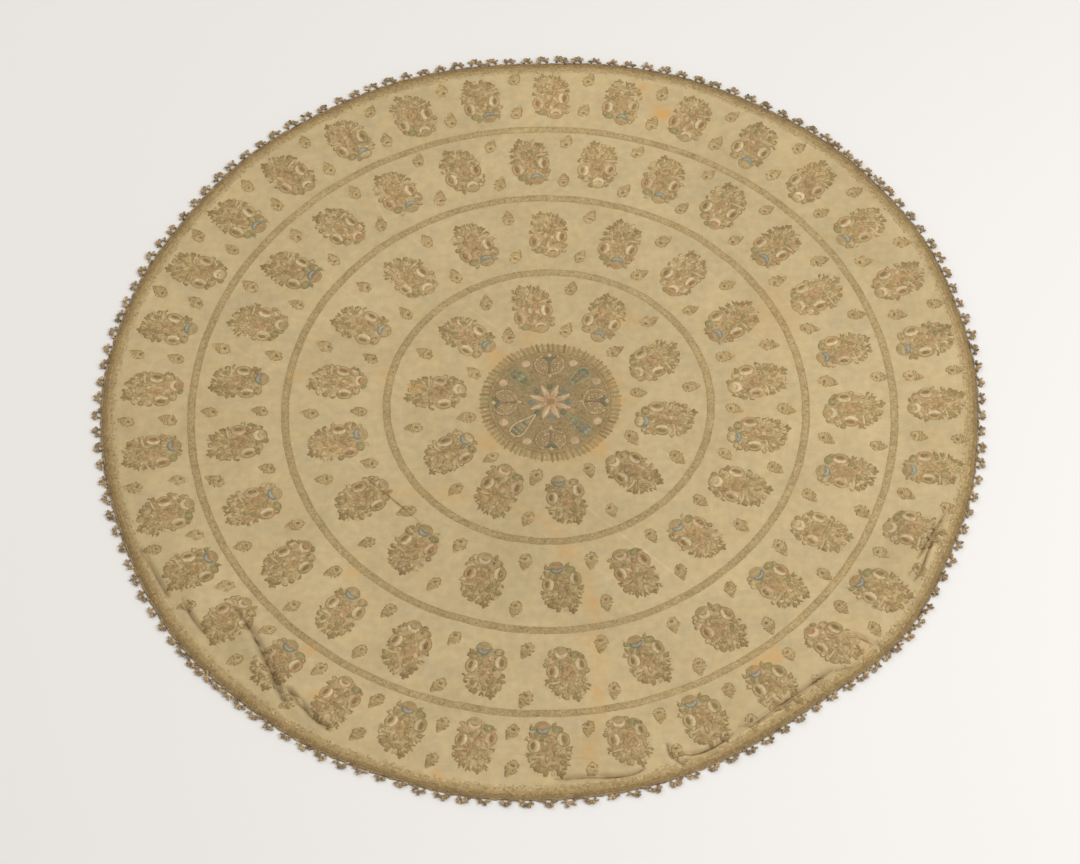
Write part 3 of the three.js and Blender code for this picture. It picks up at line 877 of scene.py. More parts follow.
def sprig_stripes(stitches, tip):
    """Stripes across the pod, and the dark edge on its right that runs into the tip."""
    draw = stitches.draw
    for index in range(draw.integers(3, 5)):
        y = 0.6 + 3.0 * index + draw.uniform(-0.6, 0.6)
        reach = 5.8 - 1.0 * index + draw.uniform(-0.9, 0.5)
        middle = 0.6 + 0.3 * y
        path = [(middle - reach, y + draw.uniform(-1.6, 1.0)), (middle, y + 0.8),
                (middle + reach, y + draw.uniform(-1.6, 1.0))]
        stitches.cord(spline_points(path, 6), (0.5, 1.2, 0.8, 1.3, 0.7, 1.2, 0.5),
                      {"bronze": 0.56, "umber": 0.34, "moss": 0.1}, (0.98, 1.1), height=0.6)
    right = [(8.0, -1.0), (8.0, 4.0), (tip[0] + 1.5, tip[1] - 2.6), tip]
    stitches.cord(spline_points(right, 9), (0.3, 0.8, 0.6, 1.1, 0.8, 1.2, 0.9, 1.2, 0.8, 0.4),
                  ["umber", "bronze"], (0.98, 1.1), height=0.65)


def make_sprig(draw):
    """One small sprig, about 20 by 29 mm: a mottled pod with stripes, a dark heart and a tip."""
    stitches = Stitches(draw)
    tip = np.array([5.0 + draw.uniform(-2.0, 1.5), 12.6])
    sprig_pods(stitches, tip)
    sprig_stripes(stitches, tip)
    for _ in range(SPRIG_INNER_PADS):
        place = (draw.uniform(-6.0, 6.0), draw.uniform(-10.0, 5.0))
        stitches.pad(place, draw.uniform(1.2, 2.2), draw.uniform(0.7, 1.1), draw.uniform(0, TURN), 0.58,
                     {"bronze": 0.4, "filling": 0.3, "rose": 0.15, "fawn": 0.15}, (0.98, 1.08), 5)
    heart = np.array([0.6, -5.4]) + draw.uniform(-0.9, 0.9, 2)
    if draw.uniform() < 0.5:
        stitches.crescent(heart, (5.0, 4.2), draw.uniform(-0.4, 0.4) - QUARTER, 1.2, 1.7, 0.65, "fawn",
                          (0.94, 1.0), 8)
    stitches.pad(heart, draw.uniform(2.8, 4.0), draw.uniform(1.9, 2.7), draw.uniform(-0.4, 0.6), 0.8, "umber",
                 (0.84, 1.02), 8, scallop=(3, 0.08))
    return stitches


# Bands of sprays, and the ring bands between them

def band_angles(band):
    """Outward angle of each spray of a band, in radians, going clockwise."""
    keys = [index for index, _ in band.stations] + [band.count]
    degrees = [angle for _, angle in band.stations] + [band.stations[0][1] - 360]
    return np.radians(np.interp(np.arange(band.count), keys, degrees))


def ring_place(band, angle, offset=0.0):
    """A place on a band at an angle, moved outward by an offset."""
    reach = band.radius + offset
    return band.middle[0] + reach * math.cos(angle), band.middle[1] + reach * math.sin(angle)


def base_is_blue(band, index):
    """Whether a spray's base bloom is blue: every second one, with one shift where the count is odd."""
    return (index + (index >= band.blue_shift)) % 2 == band.blue_parity


# Small lozenges of a ring band: their pitch, where their rows lie across its width, and their slant
RING_CELL, RING_ROWS, LOZENGE_SLANT = 5.7, (-0.36, -0.13, 0.13, 0.36), 0.95
LOZENGE_THREADS = {"bronze": 0.36, "ring_tan": 0.34, "filling": 0.2, "fawn": 0.1}
OUTER_RING_FROM = 400


def make_ring_band(stitches, middle, radius, width):
    """A ring of close stitches between two darker lines, with rows of small lozenges."""
    draw = stitches.draw
    cells = int(TURN * radius / RING_CELL)
    angles = even_turns(cells)
    unit = np.c_[np.cos(angles), np.sin(angles)]
    middle = np.asarray(middle, float)
    ripple = 0.25 * np.sin(angles * 37) + 0.2 * np.sin(angles * 61 + 1)
    tone_change = WORN_RING * bell(angles, WORN_STRETCH) * (radius > OUTER_RING_FROM)
    patches = 0.02 * np.sin(angles * 9) + 0.025 * np.sin(angles * 23 + 2) * np.sin(angles * 5)
    # Painted light and shade: the band is painted paler at its far side and darker at its near side, besides
    # its wear and patches
    even_tones = 1 + FAR_SIDE_PAINTED_LIGHT * np.sin(angles + 0.4) + tone_change + patches
    tones = np.repeat(even_tones + draw.uniform(-0.05, 0.05, cells), len(SATIN_RIDGE))
    stitches.run(middle + unit * (radius + ripple)[:, None], width / 2, 0.32, "ring_tan", tones, closed=True)
    for side in (-1, 1):
        line = radius + side * (width / 2 - 1.4) + ripple
        stitches.cord(middle + unit * line[:, None], 0.8, "ring_tan", 0.97, closed=True)
    for angle, even_tone in zip(angles, even_tones):
        for row in RING_ROWS:
            at = angle + draw.uniform(0, TURN / cells)
            place = polar(radius + row * width + draw.uniform(-0.5, 0.5), math.degrees(at), middle)
            thread = stitches.kind(LOZENGE_THREADS)
            stitches.pad(place, draw.uniform(1.6, 2.8), draw.uniform(1.0, 1.5),
                         at + draw.choice([LOZENGE_SLANT, -LOZENGE_SLANT]), 0.5, thread,
                         even_tone * draw.uniform(0.93, 1.07), 5)


# Medallion in the middle of the cloth

MEDALLION_MIDDLE, MEDALLION_RADIUS = (7, 7), 86
GROUND_STITCHES, GROUND_REACH = 420, 81
GROUND_THREADS = {"bronze": 0.26, "umber": 0.22, "filling": 0.22, "moss": 0.12, "medallion_brown": 0.18}
COMB_TEETH = 80
COMB_THREADS = {"bronze": 0.36, "medallion_brown": 0.28, "umber": 0.26, "moss": 0.1}

# A comb tooth's and a star petal's stations from the inner end: how far out, and the half width there
TOOTH = [(0, 2.5), (4, 2.4), (8, 2.2), (11, 2.0), (13.5, 1.6), (15, 0.9)]
TOOTH_SCALE, TOOTH_LEAN = 16, 0.06
STAR_PETAL = [(4, 1.9), (9, 3.4), (14, 4.3), (19, 4.2), (24, 3.3), (28, 2.0), (31, 0.5)]
STAR_ROOT = [(5, 1.2), (9, 2.0), (14, 1.6), (19, 0.5)]
STAR_LIGHT = [(14, 0.8), (18, 2.3), (22, 2.6), (27, 1.7), (31, 0.4)]

# Threads of the round cells between the star's points, outer and inner
STAR_CELLS = [("steel", "teal"), ("steel", "teal"), ("teal", "moss"), ("teal", "moss"),
              ("steel", "teal"), ("teal", "steel"), ("steel", "plum"), ("teal", "steel")]

# Rows of knots in a roundel: radius and thread
KNOT_ROWS = [(18.8, "peach"), (14.8, "filling"), (10.8, "peach"), (6.8, "fawn")]
KNOT_PITCH, KNOT_ROW_TURN = 3.7, 2.4

# Long drops between the roundels: angle, thread of the outline, and threads of the cells from the inner end
DROPS = [
    (45, "mint", ["mint", "teal", "plum", "steel", "teal"]),
    (135, "mint", ["moss", "teal", "mint", "teal", "plum"]),
    (225, "cream", ["mint", "steel", "rose", "steel", "plum"]),
    (315, "mint", ["mint", "steel", "plum", "steel", "sky"]),
]
DROP_EDGE = [(0.4, -24), (3.8, -12), (9.0, 4), (9.8, 14), (6.4, 21), (0, 23)]

# Cells of a drop: place along it and half width
DROP_CELLS = [(-9, 2.6), (-2.5, 4.6), (4.5, 6.4), (11.5, 7.4), (18, 5.6)]


def spoke(stitches, stations, angle, height, thread, tone):
    """A satin run straight out from the middle, by its stations."""
    path = [polar(reach, angle) for reach, _ in stations]
    stitches.run(path, [half for _, half in stations], height, thread, tone)


def medallion_ground(stitches):
    """The filled brown round, worked in rings of short stitches, and the lighter ground under the comb."""
    draw, outline = stitches.draw, oval(1, 1, 90)
    stitches.run(outline * (MEDALLION_RADIUS + 6), 8.5, 0.2, "filling", 1.0, closed=True)
    radii = np.linspace(3.5, MEDALLION_RADIUS, 24)
    stitches.disc(radii, outline, 0.34, "medallion_brown", draw.uniform(0.96, 1.04, len(radii)))
    for _ in range(GROUND_STITCHES):
        angle = draw.uniform(0, 360)
        thread = stitches.kind(GROUND_THREADS)
        place = polar(GROUND_REACH * math.sqrt(draw.uniform(0.02, 1)), angle)
        stitches.pad(place, draw.uniform(2.0, 3.8), draw.uniform(1.1, 2.0),
                     math.radians(angle) + draw.choice([0, QUARTER]), 0.55, thread, (0.89, 1.05), 6)


def comb(stitches):
    """The comb of short satin bars round the ground, with light knots in its gaps and two lines inside it."""
    draw = stitches.draw
    for index in range(COMB_TEETH):
        angle = index / COMB_TEETH * 360 + draw.uniform(-0.8, 0.8)
        longer = draw.uniform(-1.5, 1.5)
        path = [polar(MEDALLION_RADIUS + reach + longer * reach / TOOTH_SCALE, angle + TOOTH_LEAN * reach)
                for reach, _ in TOOTH]
        stitches.run(path, [half for _, half in TOOTH], 0.5, COMB_THREADS, (0.97, 1.07))
        gap = angle + 180 / COMB_TEETH
        knot = polar(MEDALLION_RADIUS + draw.uniform(6, 11), gap + 0.5)
        stitches.pad(knot, 3.0, 1.1, math.radians(gap), 0.45, ["cream", "fawn", "peach"], (0.88, 0.98), 6)
    for inset, radius, tone in ((0.5, 1.0, 0.97), (-4.5, 0.8, 1.02)):
        stitches.cord(oval(1, 1, 120) * (MEDALLION_RADIUS + inset), radius, "bronze", tone, closed=True)


def star(stitches):
    """The eight-pointed star with round cells between its points."""
    for index, (outer, inner) in enumerate(STAR_CELLS):
        cell = polar(26, index * 45)
        stitches.pad(cell, 5.6, 5.0, math.radians(index * 45), 0.7, outer, (1.0, 1.1), 10)
        stitches.dot(cell, 3.2, 1.0, inner, (0.95, 1.1), 8)
        angle = 22.5 + index * 45
        spoke(stitches, STAR_PETAL, angle, 0.95, "peach", (0.89, 0.98))
        spoke(stitches, STAR_ROOT, angle - 2, 1.15, "coral", (0.88, 0.96))
        spoke(stitches, STAR_LIGHT, angle + 2, 1.2, "cream", (0.87, 0.95))
    stitches.pad((0, 0), 7.6, 7.6, 0, 1.2, "rose", 0.9, 16)
    stitches.oval_cord((0, 0), (4.6, 4.6), 0, 0.6, "coral", 0.8, 12)
    for turn in even_turns(8):
        stitches.dot((6.2 * math.cos(turn), 6.2 * math.sin(turn)), 1.0, 1.4, "filling", 1.0, 5)


def roundel(stitches, angle):
    """A seed head of dotted rows on both sides of a dark rib, with a calyx outside and a drop inside."""
    draw = stitches.draw
    motif = Stitches(draw)
    for side in (-1, 1):
        motif.base = 0
        motif.pad((side * 10.5, 0.5), 17.2, 11.4, QUARTER + side * 0.12, 0.42, "medallion_brown",
                  (0.95, 1.01), 16)
        motif.base = 0.42
        for radius, thread in KNOT_ROWS:
            for turn in np.linspace(-1.42, 0.98, max(int(radius * KNOT_ROW_TURN / KNOT_PITCH), 3)):
                x = side * (1.8 + radius * math.cos(turn)) + draw.uniform(-0.5, 0.5)
                y = 2.6 + 0.93 * radius * math.sin(turn) + draw.uniform(-0.5, 0.5)
                motif.dot((x, y), draw.uniform(1.2, 1.9), 0.6, thread, (0.8, 1.02))
        turns = np.linspace(-1.4, 0.95, 12)
        path = np.c_[side * (1.8 + 20.9 * np.cos(turns)), 2.6 + 19.4 * np.sin(turns)]
        motif.cord(path, 0.6, "bronze", 0.94, height=0.4)
    motif.run([(0, -15), (0, -8), (0, 2), (0, 9)], (0.6, 1.5, 1.9, 1.4), 0.8, "plum", (0.95, 1.1))
    motif.run([(-9, 15.0), (-5, 14.6), (0, 9), (5, 14.6), (9, 15.0)], (1.2, 3.0, 3.4, 3.0, 1.2), 0.75, "teal",
              (0.98, 1.1))
    motif.pad((0, 18.6), 3.6, 3.2, 0, 0.9, "cream", (0.8, 0.9))
    motif.pad((0, -17.5), 4.4, 3.0, QUARTER, 0.85, ["peach", "cream"], 0.84, taper=-0.3)
    stitches.place(motif, polar(62, angle), math.radians(angle))


def cell_drop(stitches, angle, outline, threads):
    """A long drop between two roundels, outlined in light thread, with cells of other threads."""
    motif = Stitches(stitches.draw)
    motif.pad((0, 6), 17, 8.4, QUARTER, 0.42, "moss", 0.99, 14, -0.35)
    motif.base = 0.3
    right = spline_points(DROP_EDGE, 14)
    for side in (-1, 1):
        motif.cord(right * [side, 1], 0.95, outline, (0.9, 0.98), height=0.85)
    for (y, half_width), thread in zip(DROP_CELLS, threads):
        for side in (-1, 1):
            motif.pad((side * half_width * 0.54, y), 3.2, half_width * 0.52, QUARTER, 0.65, thread,
                      (1.0, 1.14))
        motif.cord([(-half_width, y + 3.4), (half_width, y + 3.4)], 0.6, outline, 0.94, height=0.95)
    stitches.place(motif, polar(54, angle), math.radians(angle))


def make_medallion(draw):
    """The whole medallion about its own middle."""
    stitches = Stitches(draw)
    medallion_ground(stitches)
    comb(stitches)
    stitches.base = 0.3
    star(stitches)
    for angle in (0, 90, 180, 270):
        roundel(stitches, angle)
        for side in (-27, 27):
            stitches.pad(polar(74.5, angle + side), 6.9, 6.3, 0.3, 0.75, "peach", (0.86, 0.98), 11)
    for drop in DROPS:
        cell_drop(stitches, *drop)
    return stitches


# Border stitching, which follows the sheet's own edge

# Close runs of the border: inset, half width, thread and tone
BORDER_RUNS = [
    (3.0, 3.0, "border_brown", 1.05), (8.2, 2.8, "border_tan", 1.03), (12.7, 2.4, "filling", 0.97),
    (16.3, 1.8, "fawn", 0.95),
]

# Painted light: how much paler the inner border is painted along the near edge than along the far one
NEAR_SIDE_PAINTED_LIGHT = 0.1

# Rows of dashes in the border: inset, threads, and how much of the row is worked
BORDER_DASHES = [
    (2.6, ["umber", "bronze", "border_tan", "border_brown"], 0.7),
    (5.8, ["umber", "bronze", "border_brown", "border_tan"], 0.7),
    (8.8, ["bronze", "border_tan", "filling", "rose"], 0.7),
    (11.8, ["bronze", "filling", "fawn"], 0.6),
    (14.6, ["filling", "fawn", "bronze"], 0.55),
    (17.4, ["filling", "fawn"], 0.45),
]
BORDER_STEPS, BORDER_DASH_COUNT = 720, 900


def make_border(shape, draw):
    """The border: close runs that grow paler inward, with rows of short dashes over them."""
    stitches = Stitches(draw)
    angles = even_turns(BORDER_STEPS)
    near_side = 0.5 - 0.5 * np.sin(angles)
    for index, (inset, half_width, thread, tone) in enumerate(BORDER_RUNS):
        patches = 0.03 * np.sin(13 * angles + index) * np.sin(5 * angles)
        patches = patches + draw.uniform(-0.03, 0.03, BORDER_STEPS)
        # Painted light: the inner runs are painted paler toward the near edge
        tones = tone * (1 + NEAR_SIDE_PAINTED_LIGHT * near_side * (index > 0) + patches)
        sway = inset + (index > 0) * (0.6 * np.sin(31 * angles + 2 * index) + 0.5 * np.sin(83 * angles))
        radii = shape.edge_radius(angles) - sway
        stitches.run(np.c_[radii * np.cos(angles), radii * np.sin(angles)], half_width, 0.28, thread,
                     np.repeat(tones, len(SATIN_RIDGE)), closed=True)
    for index in range(BORDER_DASH_COUNT):
        angle = index / BORDER_DASH_COUNT * TURN + draw.uniform(-0.002, 0.002)
        edge = float(shape.edge_radius(angle))
        for inset, threads, share in BORDER_DASHES:
            if draw.uniform() > share:
                continue
            place = polar(edge - inset - draw.uniform(-1.4, 1.4), math.degrees(angle))
            # Painted light: the inner dashes are painted paler toward the near edge
            paler = 1 + NEAR_SIDE_PAINTED_LIGHT * (0.5 - 0.5 * math.sin(angle)) * min(inset / 8, 1)
            stitches.pad(place, draw.uniform(1.8, 3.4), draw.uniform(1.0, 1.6),
                         angle + QUARTER + draw.uniform(-1.0, 1.0), 0.5, stitches.kind(threads),
                         paler * draw.uniform(0.91, 1.08), 5)
    return stitches


# Meshes

def mesh_object(name, points, faces, slots, materials, weave, attributes):
    """A smooth mesh object from arrays: points in metres, faces and their material slots by corner count."""
    sizes = [size for size in (3, 4) if len(faces.get(size, []))]
    mesh = bpy.data.meshes.new(name)
    corners = np.concatenate([faces[size].ravel() for size in sizes]).astype(np.int32)
    totals = np.concatenate([np.full(len(faces[size]), size) for size in sizes])
    starts = np.r_[0, np.cumsum(totals)[:-1]].astype(np.int32)
    mesh.vertices.add(len(points))
    mesh.vertices.foreach_set("co", points.astype(np.float32).ravel())
    mesh.loops.add(len(corners))
    mesh.loops.foreach_set("vertex_index", corners)
    mesh.polygons.add(len(starts))
    mesh.polygons.foreach_set("loop_start", starts)
    places = np.concatenate([slots[size] for size in sizes]).astype(np.int32)
    mesh.polygons.foreach_set("material_index", places)
    mesh.polygons.foreach_set("use_smooth", np.ones(len(starts), bool))
    for material in materials:
        mesh.materials.append(material)
    if weave is not None:
        layer = mesh.uv_layers.new(name="Threads")
        layer.data.foreach_set("uv", weave[corners].astype(np.float32).ravel())
    for key, values in attributes.items():
        mesh.attributes.new(key, "FLOAT", "POINT").data.foreach_set("value", values.astype(np.float32))
    mesh.update(calc_edges=True)
    if mesh.validate():
        raise RuntimeError(f"{name} has faulty faces")
    made = bpy.data.objects.new(name, mesh)
    bpy.context.scene.collection.objects.link(made)
    return made


def carried(piece, slot, *nodes):
    """Lets a piece ride on the cloth's body and hides the solids that it stands for; its finish is not used.
    """
    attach(piece, BODY)
    if nodes:
        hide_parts(*nodes)
    return piece


def stitched_object(name, stitches, shape):
    """The mesh of some stitches, laid on the sheet's upper face."""
    points, weave, tones = stitches.packed()
    x, y = points[:, 0], points[:, 1]
    lifted = np.c_[x, y, shape.top(x, y) + points[:, 2]] * MM
    faces = {size: rows[0] for size, rows in stitches.faces.items() if rows}
    threads = {size: rows[0] for size, rows in stitches.threads.items() if rows}
    used = sorted(set(np.concatenate(list(threads.values())).tolist()))
    slots = {size: np.searchsorted(used, rows) for size, rows in threads.items()}
    materials = [thread_material(THREADS[index]) for index in used]
    attributes = {"tone": tones, **shape.attributes(x, y)}
    return carried(mesh_object(name, lifted, faces, slots, materials, weave, attributes), "linen")


def zip_rings(inner_first, inner_count, outer_first, outer_count):
    """Faces between two rings of points that both start at angle 0, facing up."""
    if inner_count == outer_count:
        step, following = round_steps(inner_count)
        return np.zeros((0, 3), int), np.c_[inner_first + step, outer_first + step, outer_first + following,
                                            inner_first + following]
    triangles = []
    i = j = 0
    while i < inner_count or j < outer_count:
        inner, outer = inner_first + i % inner_count, outer_first + j % outer_count
        if i < inner_count and (j >= outer_count or (i + 1) * outer_count < (j + 1) * inner_count):
            i += 1
            triangles.append((inner, outer, inner_first + i % inner_count))
        else:
            j += 1
            triangles.append((inner, outer, outer_first + j % outer_count))
    return np.array(triangles), np.zeros((0, 4), int)


def skin(shape, height, rings, first):
    """One face of the sheet: a middle point and rings, each a share of the radius and a count of points."""
    plan, triangles, quads = [np.zeros((1, 2))], [], []
    start, last_count, last_first = first + 1, 0, 0
    for share, count in rings:
        angles = ring_angles(count)
        radii = share * shape.edge_radius(angles)
        plan.append(np.c_[radii * np.cos(angles), radii * np.sin(angles)])
        if last_count:
            new_triangles, new_quads = zip_rings(last_first, last_count, start, count)
            triangles.append(new_triangles)
            quads.append(new_quads)
        else:
            step, following = round_steps(count)
            triangles.append(np.c_[np.full(count, first), start + step, start + following])
        last_first, last_count = start, count
        start += count
    plan = np.vstack(plan)
    points = np.c_[plan, height(plan[:, 0], plan[:, 1])]
    return points, np.vstack(triangles), np.vstack(quads), last_first


# How much closer the sheet's points stand where the near edge is folded, and how its rings are spaced:
# each zone's inset and the steps of the upper face and the underside in it
FOLDED_ZONES = [AngleBell(229, 34, 1.3), AngleBell(302, 44, 1.1)]
ZONE_INSETS, TOP_STEPS, UNDER_STEPS = (112, 210), (2.4, 4.4, 6.8), (7, 13, 20)

# How many points a ring has, up to each share of the radius
RING_COUNTS = [(0.08, 48), (0.17, 96), (0.34, 192), (0.67, 384), (0.82, 480), (2, 720)]


def ring_angles(count):
    """Angles of a ring's points, closer together where the near edge is folded."""
    table = np.linspace(0, TURN, 1441)
    density = sum((row.amount * bell(table, row) for row in FOLDED_ZONES), 1)
    grown = np.r_[0, np.cumsum((density[1:] + density[:-1]) / 2)]
    return np.interp(np.arange(count) / count * grown[-1], grown, table)


def sheet_rings(shape, steps, density):
    """Rings of one face of the sheet, closer together in the folded zone near the edge."""
    insets = [0.0]
    for limit, step in zip((*ZONE_INSETS, shape.edge_full), steps):
        while insets[-1] + 1.5 * step < limit:
            insets.append(insets[-1] + step)
    rings = []
    for inset in reversed(insets):
        share = 1 - inset / shape.edge_full
        count = next(count for limit, count in RING_COUNTS if share < limit)
        rings.append((share, count // density))
    return rings


def make_sheet(shape):
    """The closed linen sheet: its upper face, its underside and the narrow rim between them."""
    top_rings = sheet_rings(shape, TOP_STEPS, 1)
    under_rings = sheet_rings(shape, UNDER_STEPS, 2)
    under_rings[-1] = top_rings[-1]
    top, top_triangles, top_quads, top_edge = skin(shape, shape.top, top_rings, 0)
    under, under_triangles, under_quads, under_edge = skin(shape, shape.underside, under_rings, len(top))
    step, following = round_steps(top_rings[-1][1])
    rim = np.c_[top_edge + step, under_edge + step, under_edge + following, top_edge + following]
    points = np.vstack([top, under])
    faces = {3: np.vstack([top_triangles, under_triangles[:, ::-1]]),
             4: np.vstack([top_quads, under_quads[:, ::-1], rim])}
    slots = {size: np.zeros(len(rows), int) for size, rows in faces.items()}
    attributes = shape.attributes(points[:, 0], points[:, 1])
    return mesh_object("linen_sheet", points * MM, faces, slots, [linen_material()], None, attributes)


# Lace threads as closed tubes

class Tubes:
    """Closed round threads in space, in millimetres."""

    sides = 6

    def __init__(self):
        self.points, self.weave, self.tones, self.quads, self.triangles = [], [], [], [], []
        self.count = 0

    def add(self, path, radii, tone=1.0, closed=False):
        """A tube along a path that stays nearly level, with rounded ends or closed on itself."""
        path = np.asarray(path, float)
        radii = np.broadcast_to(np.asarray(radii, float), len(path)).copy()
        ahead, behind = neighbours(path, closed)
        tangent = ahead - behind
        side = np.c_[-tangent[:, 1], tangent[:, 0], np.zeros(len(path))]
        side /= np.maximum(np.linalg.norm(side, axis=1), 1e-6)[:, None]
        up = np.cross(tangent, side)
        up /= np.maximum(np.linalg.norm(up, axis=1), 1e-6)[:, None]
        angles = even_turns(self.sides)
        ring = side[:, None] * np.cos(angles)[:, None] + up[:, None] * np.sin(angles)[:, None]
        points = (path[:, None] + ring * radii[:, None, None]).reshape(-1, 3)
        steps = np.r_[0, np.cumsum(np.linalg.norm(np.diff(path, axis=0), axis=1))]
        weave = np.dstack(np.broadcast_arrays(angles * radii[:, None], steps[:, None])).reshape(-1, 2)
        rows = len(path)
        self.quads.append(grid_quads(rows, self.sides, closed, True)[:, ::-1] + self.count)
        self.points.append(points)
        self.weave.append(weave)
        self.tones.append(np.full(len(points), tone))
        self.count += len(points)
        if not closed:
            first = self.count - rows * self.sides
            for row, order in ((0, 1), (rows - 1, -1)):
                heading = tangent[row] / max(np.linalg.norm(tangent[row]), 1e-6)
                tip = path[row] - order * heading * radii[row] * 0.8
                self.cap(first + row * self.sides, order, tip, weave[row * self.sides], tone)

    def cap(self, base, order, tip, weave, tone):
        """Closes one end of a tube, whose last ring starts at the base index, at a tip."""
        index, beside = round_steps(self.sides)
        triangles = np.c_[base + index, base + beside, np.full(self.sides, self.count)]
        self.triangles.append(triangles[:, ::-1] if order < 0 else triangles)
        self.points.append(tip[None])
        self.weave.append(weave[None])
        self.tones.append(np.full(1, tone))
        self.count += 1


STRIP_STEPS, STRIP_TWISTS, FLORET_LEAN, KNOB_SHAPE = 900, 330, 16, (0.7, 0.85, 1.15, 0.8)


def floret_angles(sizes, shape):
    """Angles of the florets, evenly pitched but closer where they crowd, and scaled to close the round."""
    angles = []
    angle = 0.0
    while angle < TURN:
        angles.append(angle)
        crowding = 1 + sum(row.amount * float(bell(angle, row)) for row in CROWDED_FLORETS)
        angle += sizes.floret_pitch / MM / shape.edge_full / crowding
    return [at * TURN / angle for at in angles]


def make_floret(tubes, draw, place, thread, knobs):
    """One floret: an arch with both feet on the strip, and knobs that stand out round it."""
    rest = thread + 0.1
    half, crown = draw.uniform(4.0, 5.4), draw.uniform(4.6, 6.0)
    turns = np.linspace(0, math.pi, 8)
    arch = np.c_[half * np.cos(turns), 0.3 + crown * np.sin(turns) ** 0.8]
    tubes.add(place(arch, rest + 0.5 + 0.7 * np.sin(turns)), thread * draw.uniform(1.3, 1.7),
              draw.uniform(0.85, 1.2))
    for heading, length in knobs:
        turn = math.radians(heading + draw.uniform(-12, 12))
        length = length * draw.uniform(0.8, 1.15)
        base = np.array([0.85 * half * math.cos(turn), 0.5 * crown + 0.45 * crown * math.sin(turn)])
        out = ray(turn)
        bend = draw.uniform(-0.35, 0.35) * np.array([-out[1], out[0]])
        path = [base, base + out * 0.45 * length, base + (out + 0.6 * bend) * 0.8 * length,
                base + (out + bend) * length]
        lift = rest + 0.8 + draw.uniform(0, 1.4)
        radii = thread * draw.uniform(1.4, 1.9) * np.array(KNOB_SHAPE)
        tubes.add(place(path, [lift, lift + 0.5, lift + 0.4, lift]), radii, draw.uniform(0.8, 1.7))
    for _ in range(draw.integers(1, 4)):
        middle = np.array([draw.uniform(-5, 5), crown + draw.uniform(-1.0, 3.5)])
        tubes.add(place(middle + oval(1.9, 1.6, 7), rest + 1.1 + draw.uniform(0, 0.8)), thread * 1.05,
                  draw.uniform(0.8, 1.5), closed=True)


def make_lace(shape, sizes, draw):
    """The lace edging: a twisted strip along the hem, low loops between the florets and the florets."""
    tubes = Tubes()
    thread = sizes.thread_radius / MM
    seam, strip = sizes.seam_gap / MM, sizes.strip_width / MM
    angles = even_turns(STRIP_STEPS)
    for phase in (0, math.pi):
        twist = angles * STRIP_TWISTS + phase
        radii = shape.edge_radius(angles) + seam + strip / 2 + 0.25 * np.cos(twist)
        height = thread * 0.95 + 0.25 * (1 + np.sin(twist))
        path = np.c_[radii * np.cos(angles), radii * np.sin(angles), height]
        tubes.add(path, thread * 0.95, 0.95 + 0.1 * (phase > 0), closed=True)
    at = floret_angles(sizes, shape)
    for index, angle in enumerate(at):
        radius = float(shape.edge_radius(angle)) + seam + strip
        lean = math.radians(FLORET_LEAN) * math.sin(2.4 * index)
        size = 1.12 + 0.12 * math.sin(5.1 * index)
        base = np.array(polar(radius, math.degrees(angle)))
        turn = angle + lean
        x_axis = np.array([math.sin(turn), -math.cos(turn)]) * size
        y_axis = ray(turn) * size

        def place(plan, rise, base=base, x_axis=x_axis, y_axis=y_axis):
            plan = np.asarray(plan, float)
            flat = base + plan[:, :1] * x_axis + plan[:, 1:2] * y_axis
            return np.c_[flat, np.broadcast_to(rise, len(plan))]

        make_floret(tubes, draw, place, thread, FLORET_KINDS[draw.integers(len(FLORET_KINDS))])
        following = at[(index + 1) % len(at)] + (TURN if index == len(at) - 1 else 0)
        share = np.linspace(0, 1, 6)
        arc = angle + (following - angle) * (0.3 + 0.4 * share)
        out = np.asarray(shape.edge_radius(arc)) + seam + 0.7 * strip + 1.2 * np.sin(np.pi * share)
        tubes.add(np.c_[out * np.cos(arc), out * np.sin(arc), np.full(6, thread)], thread * 0.8,
                  draw.uniform(0.85, 1.15))
    return tubes


# Materials

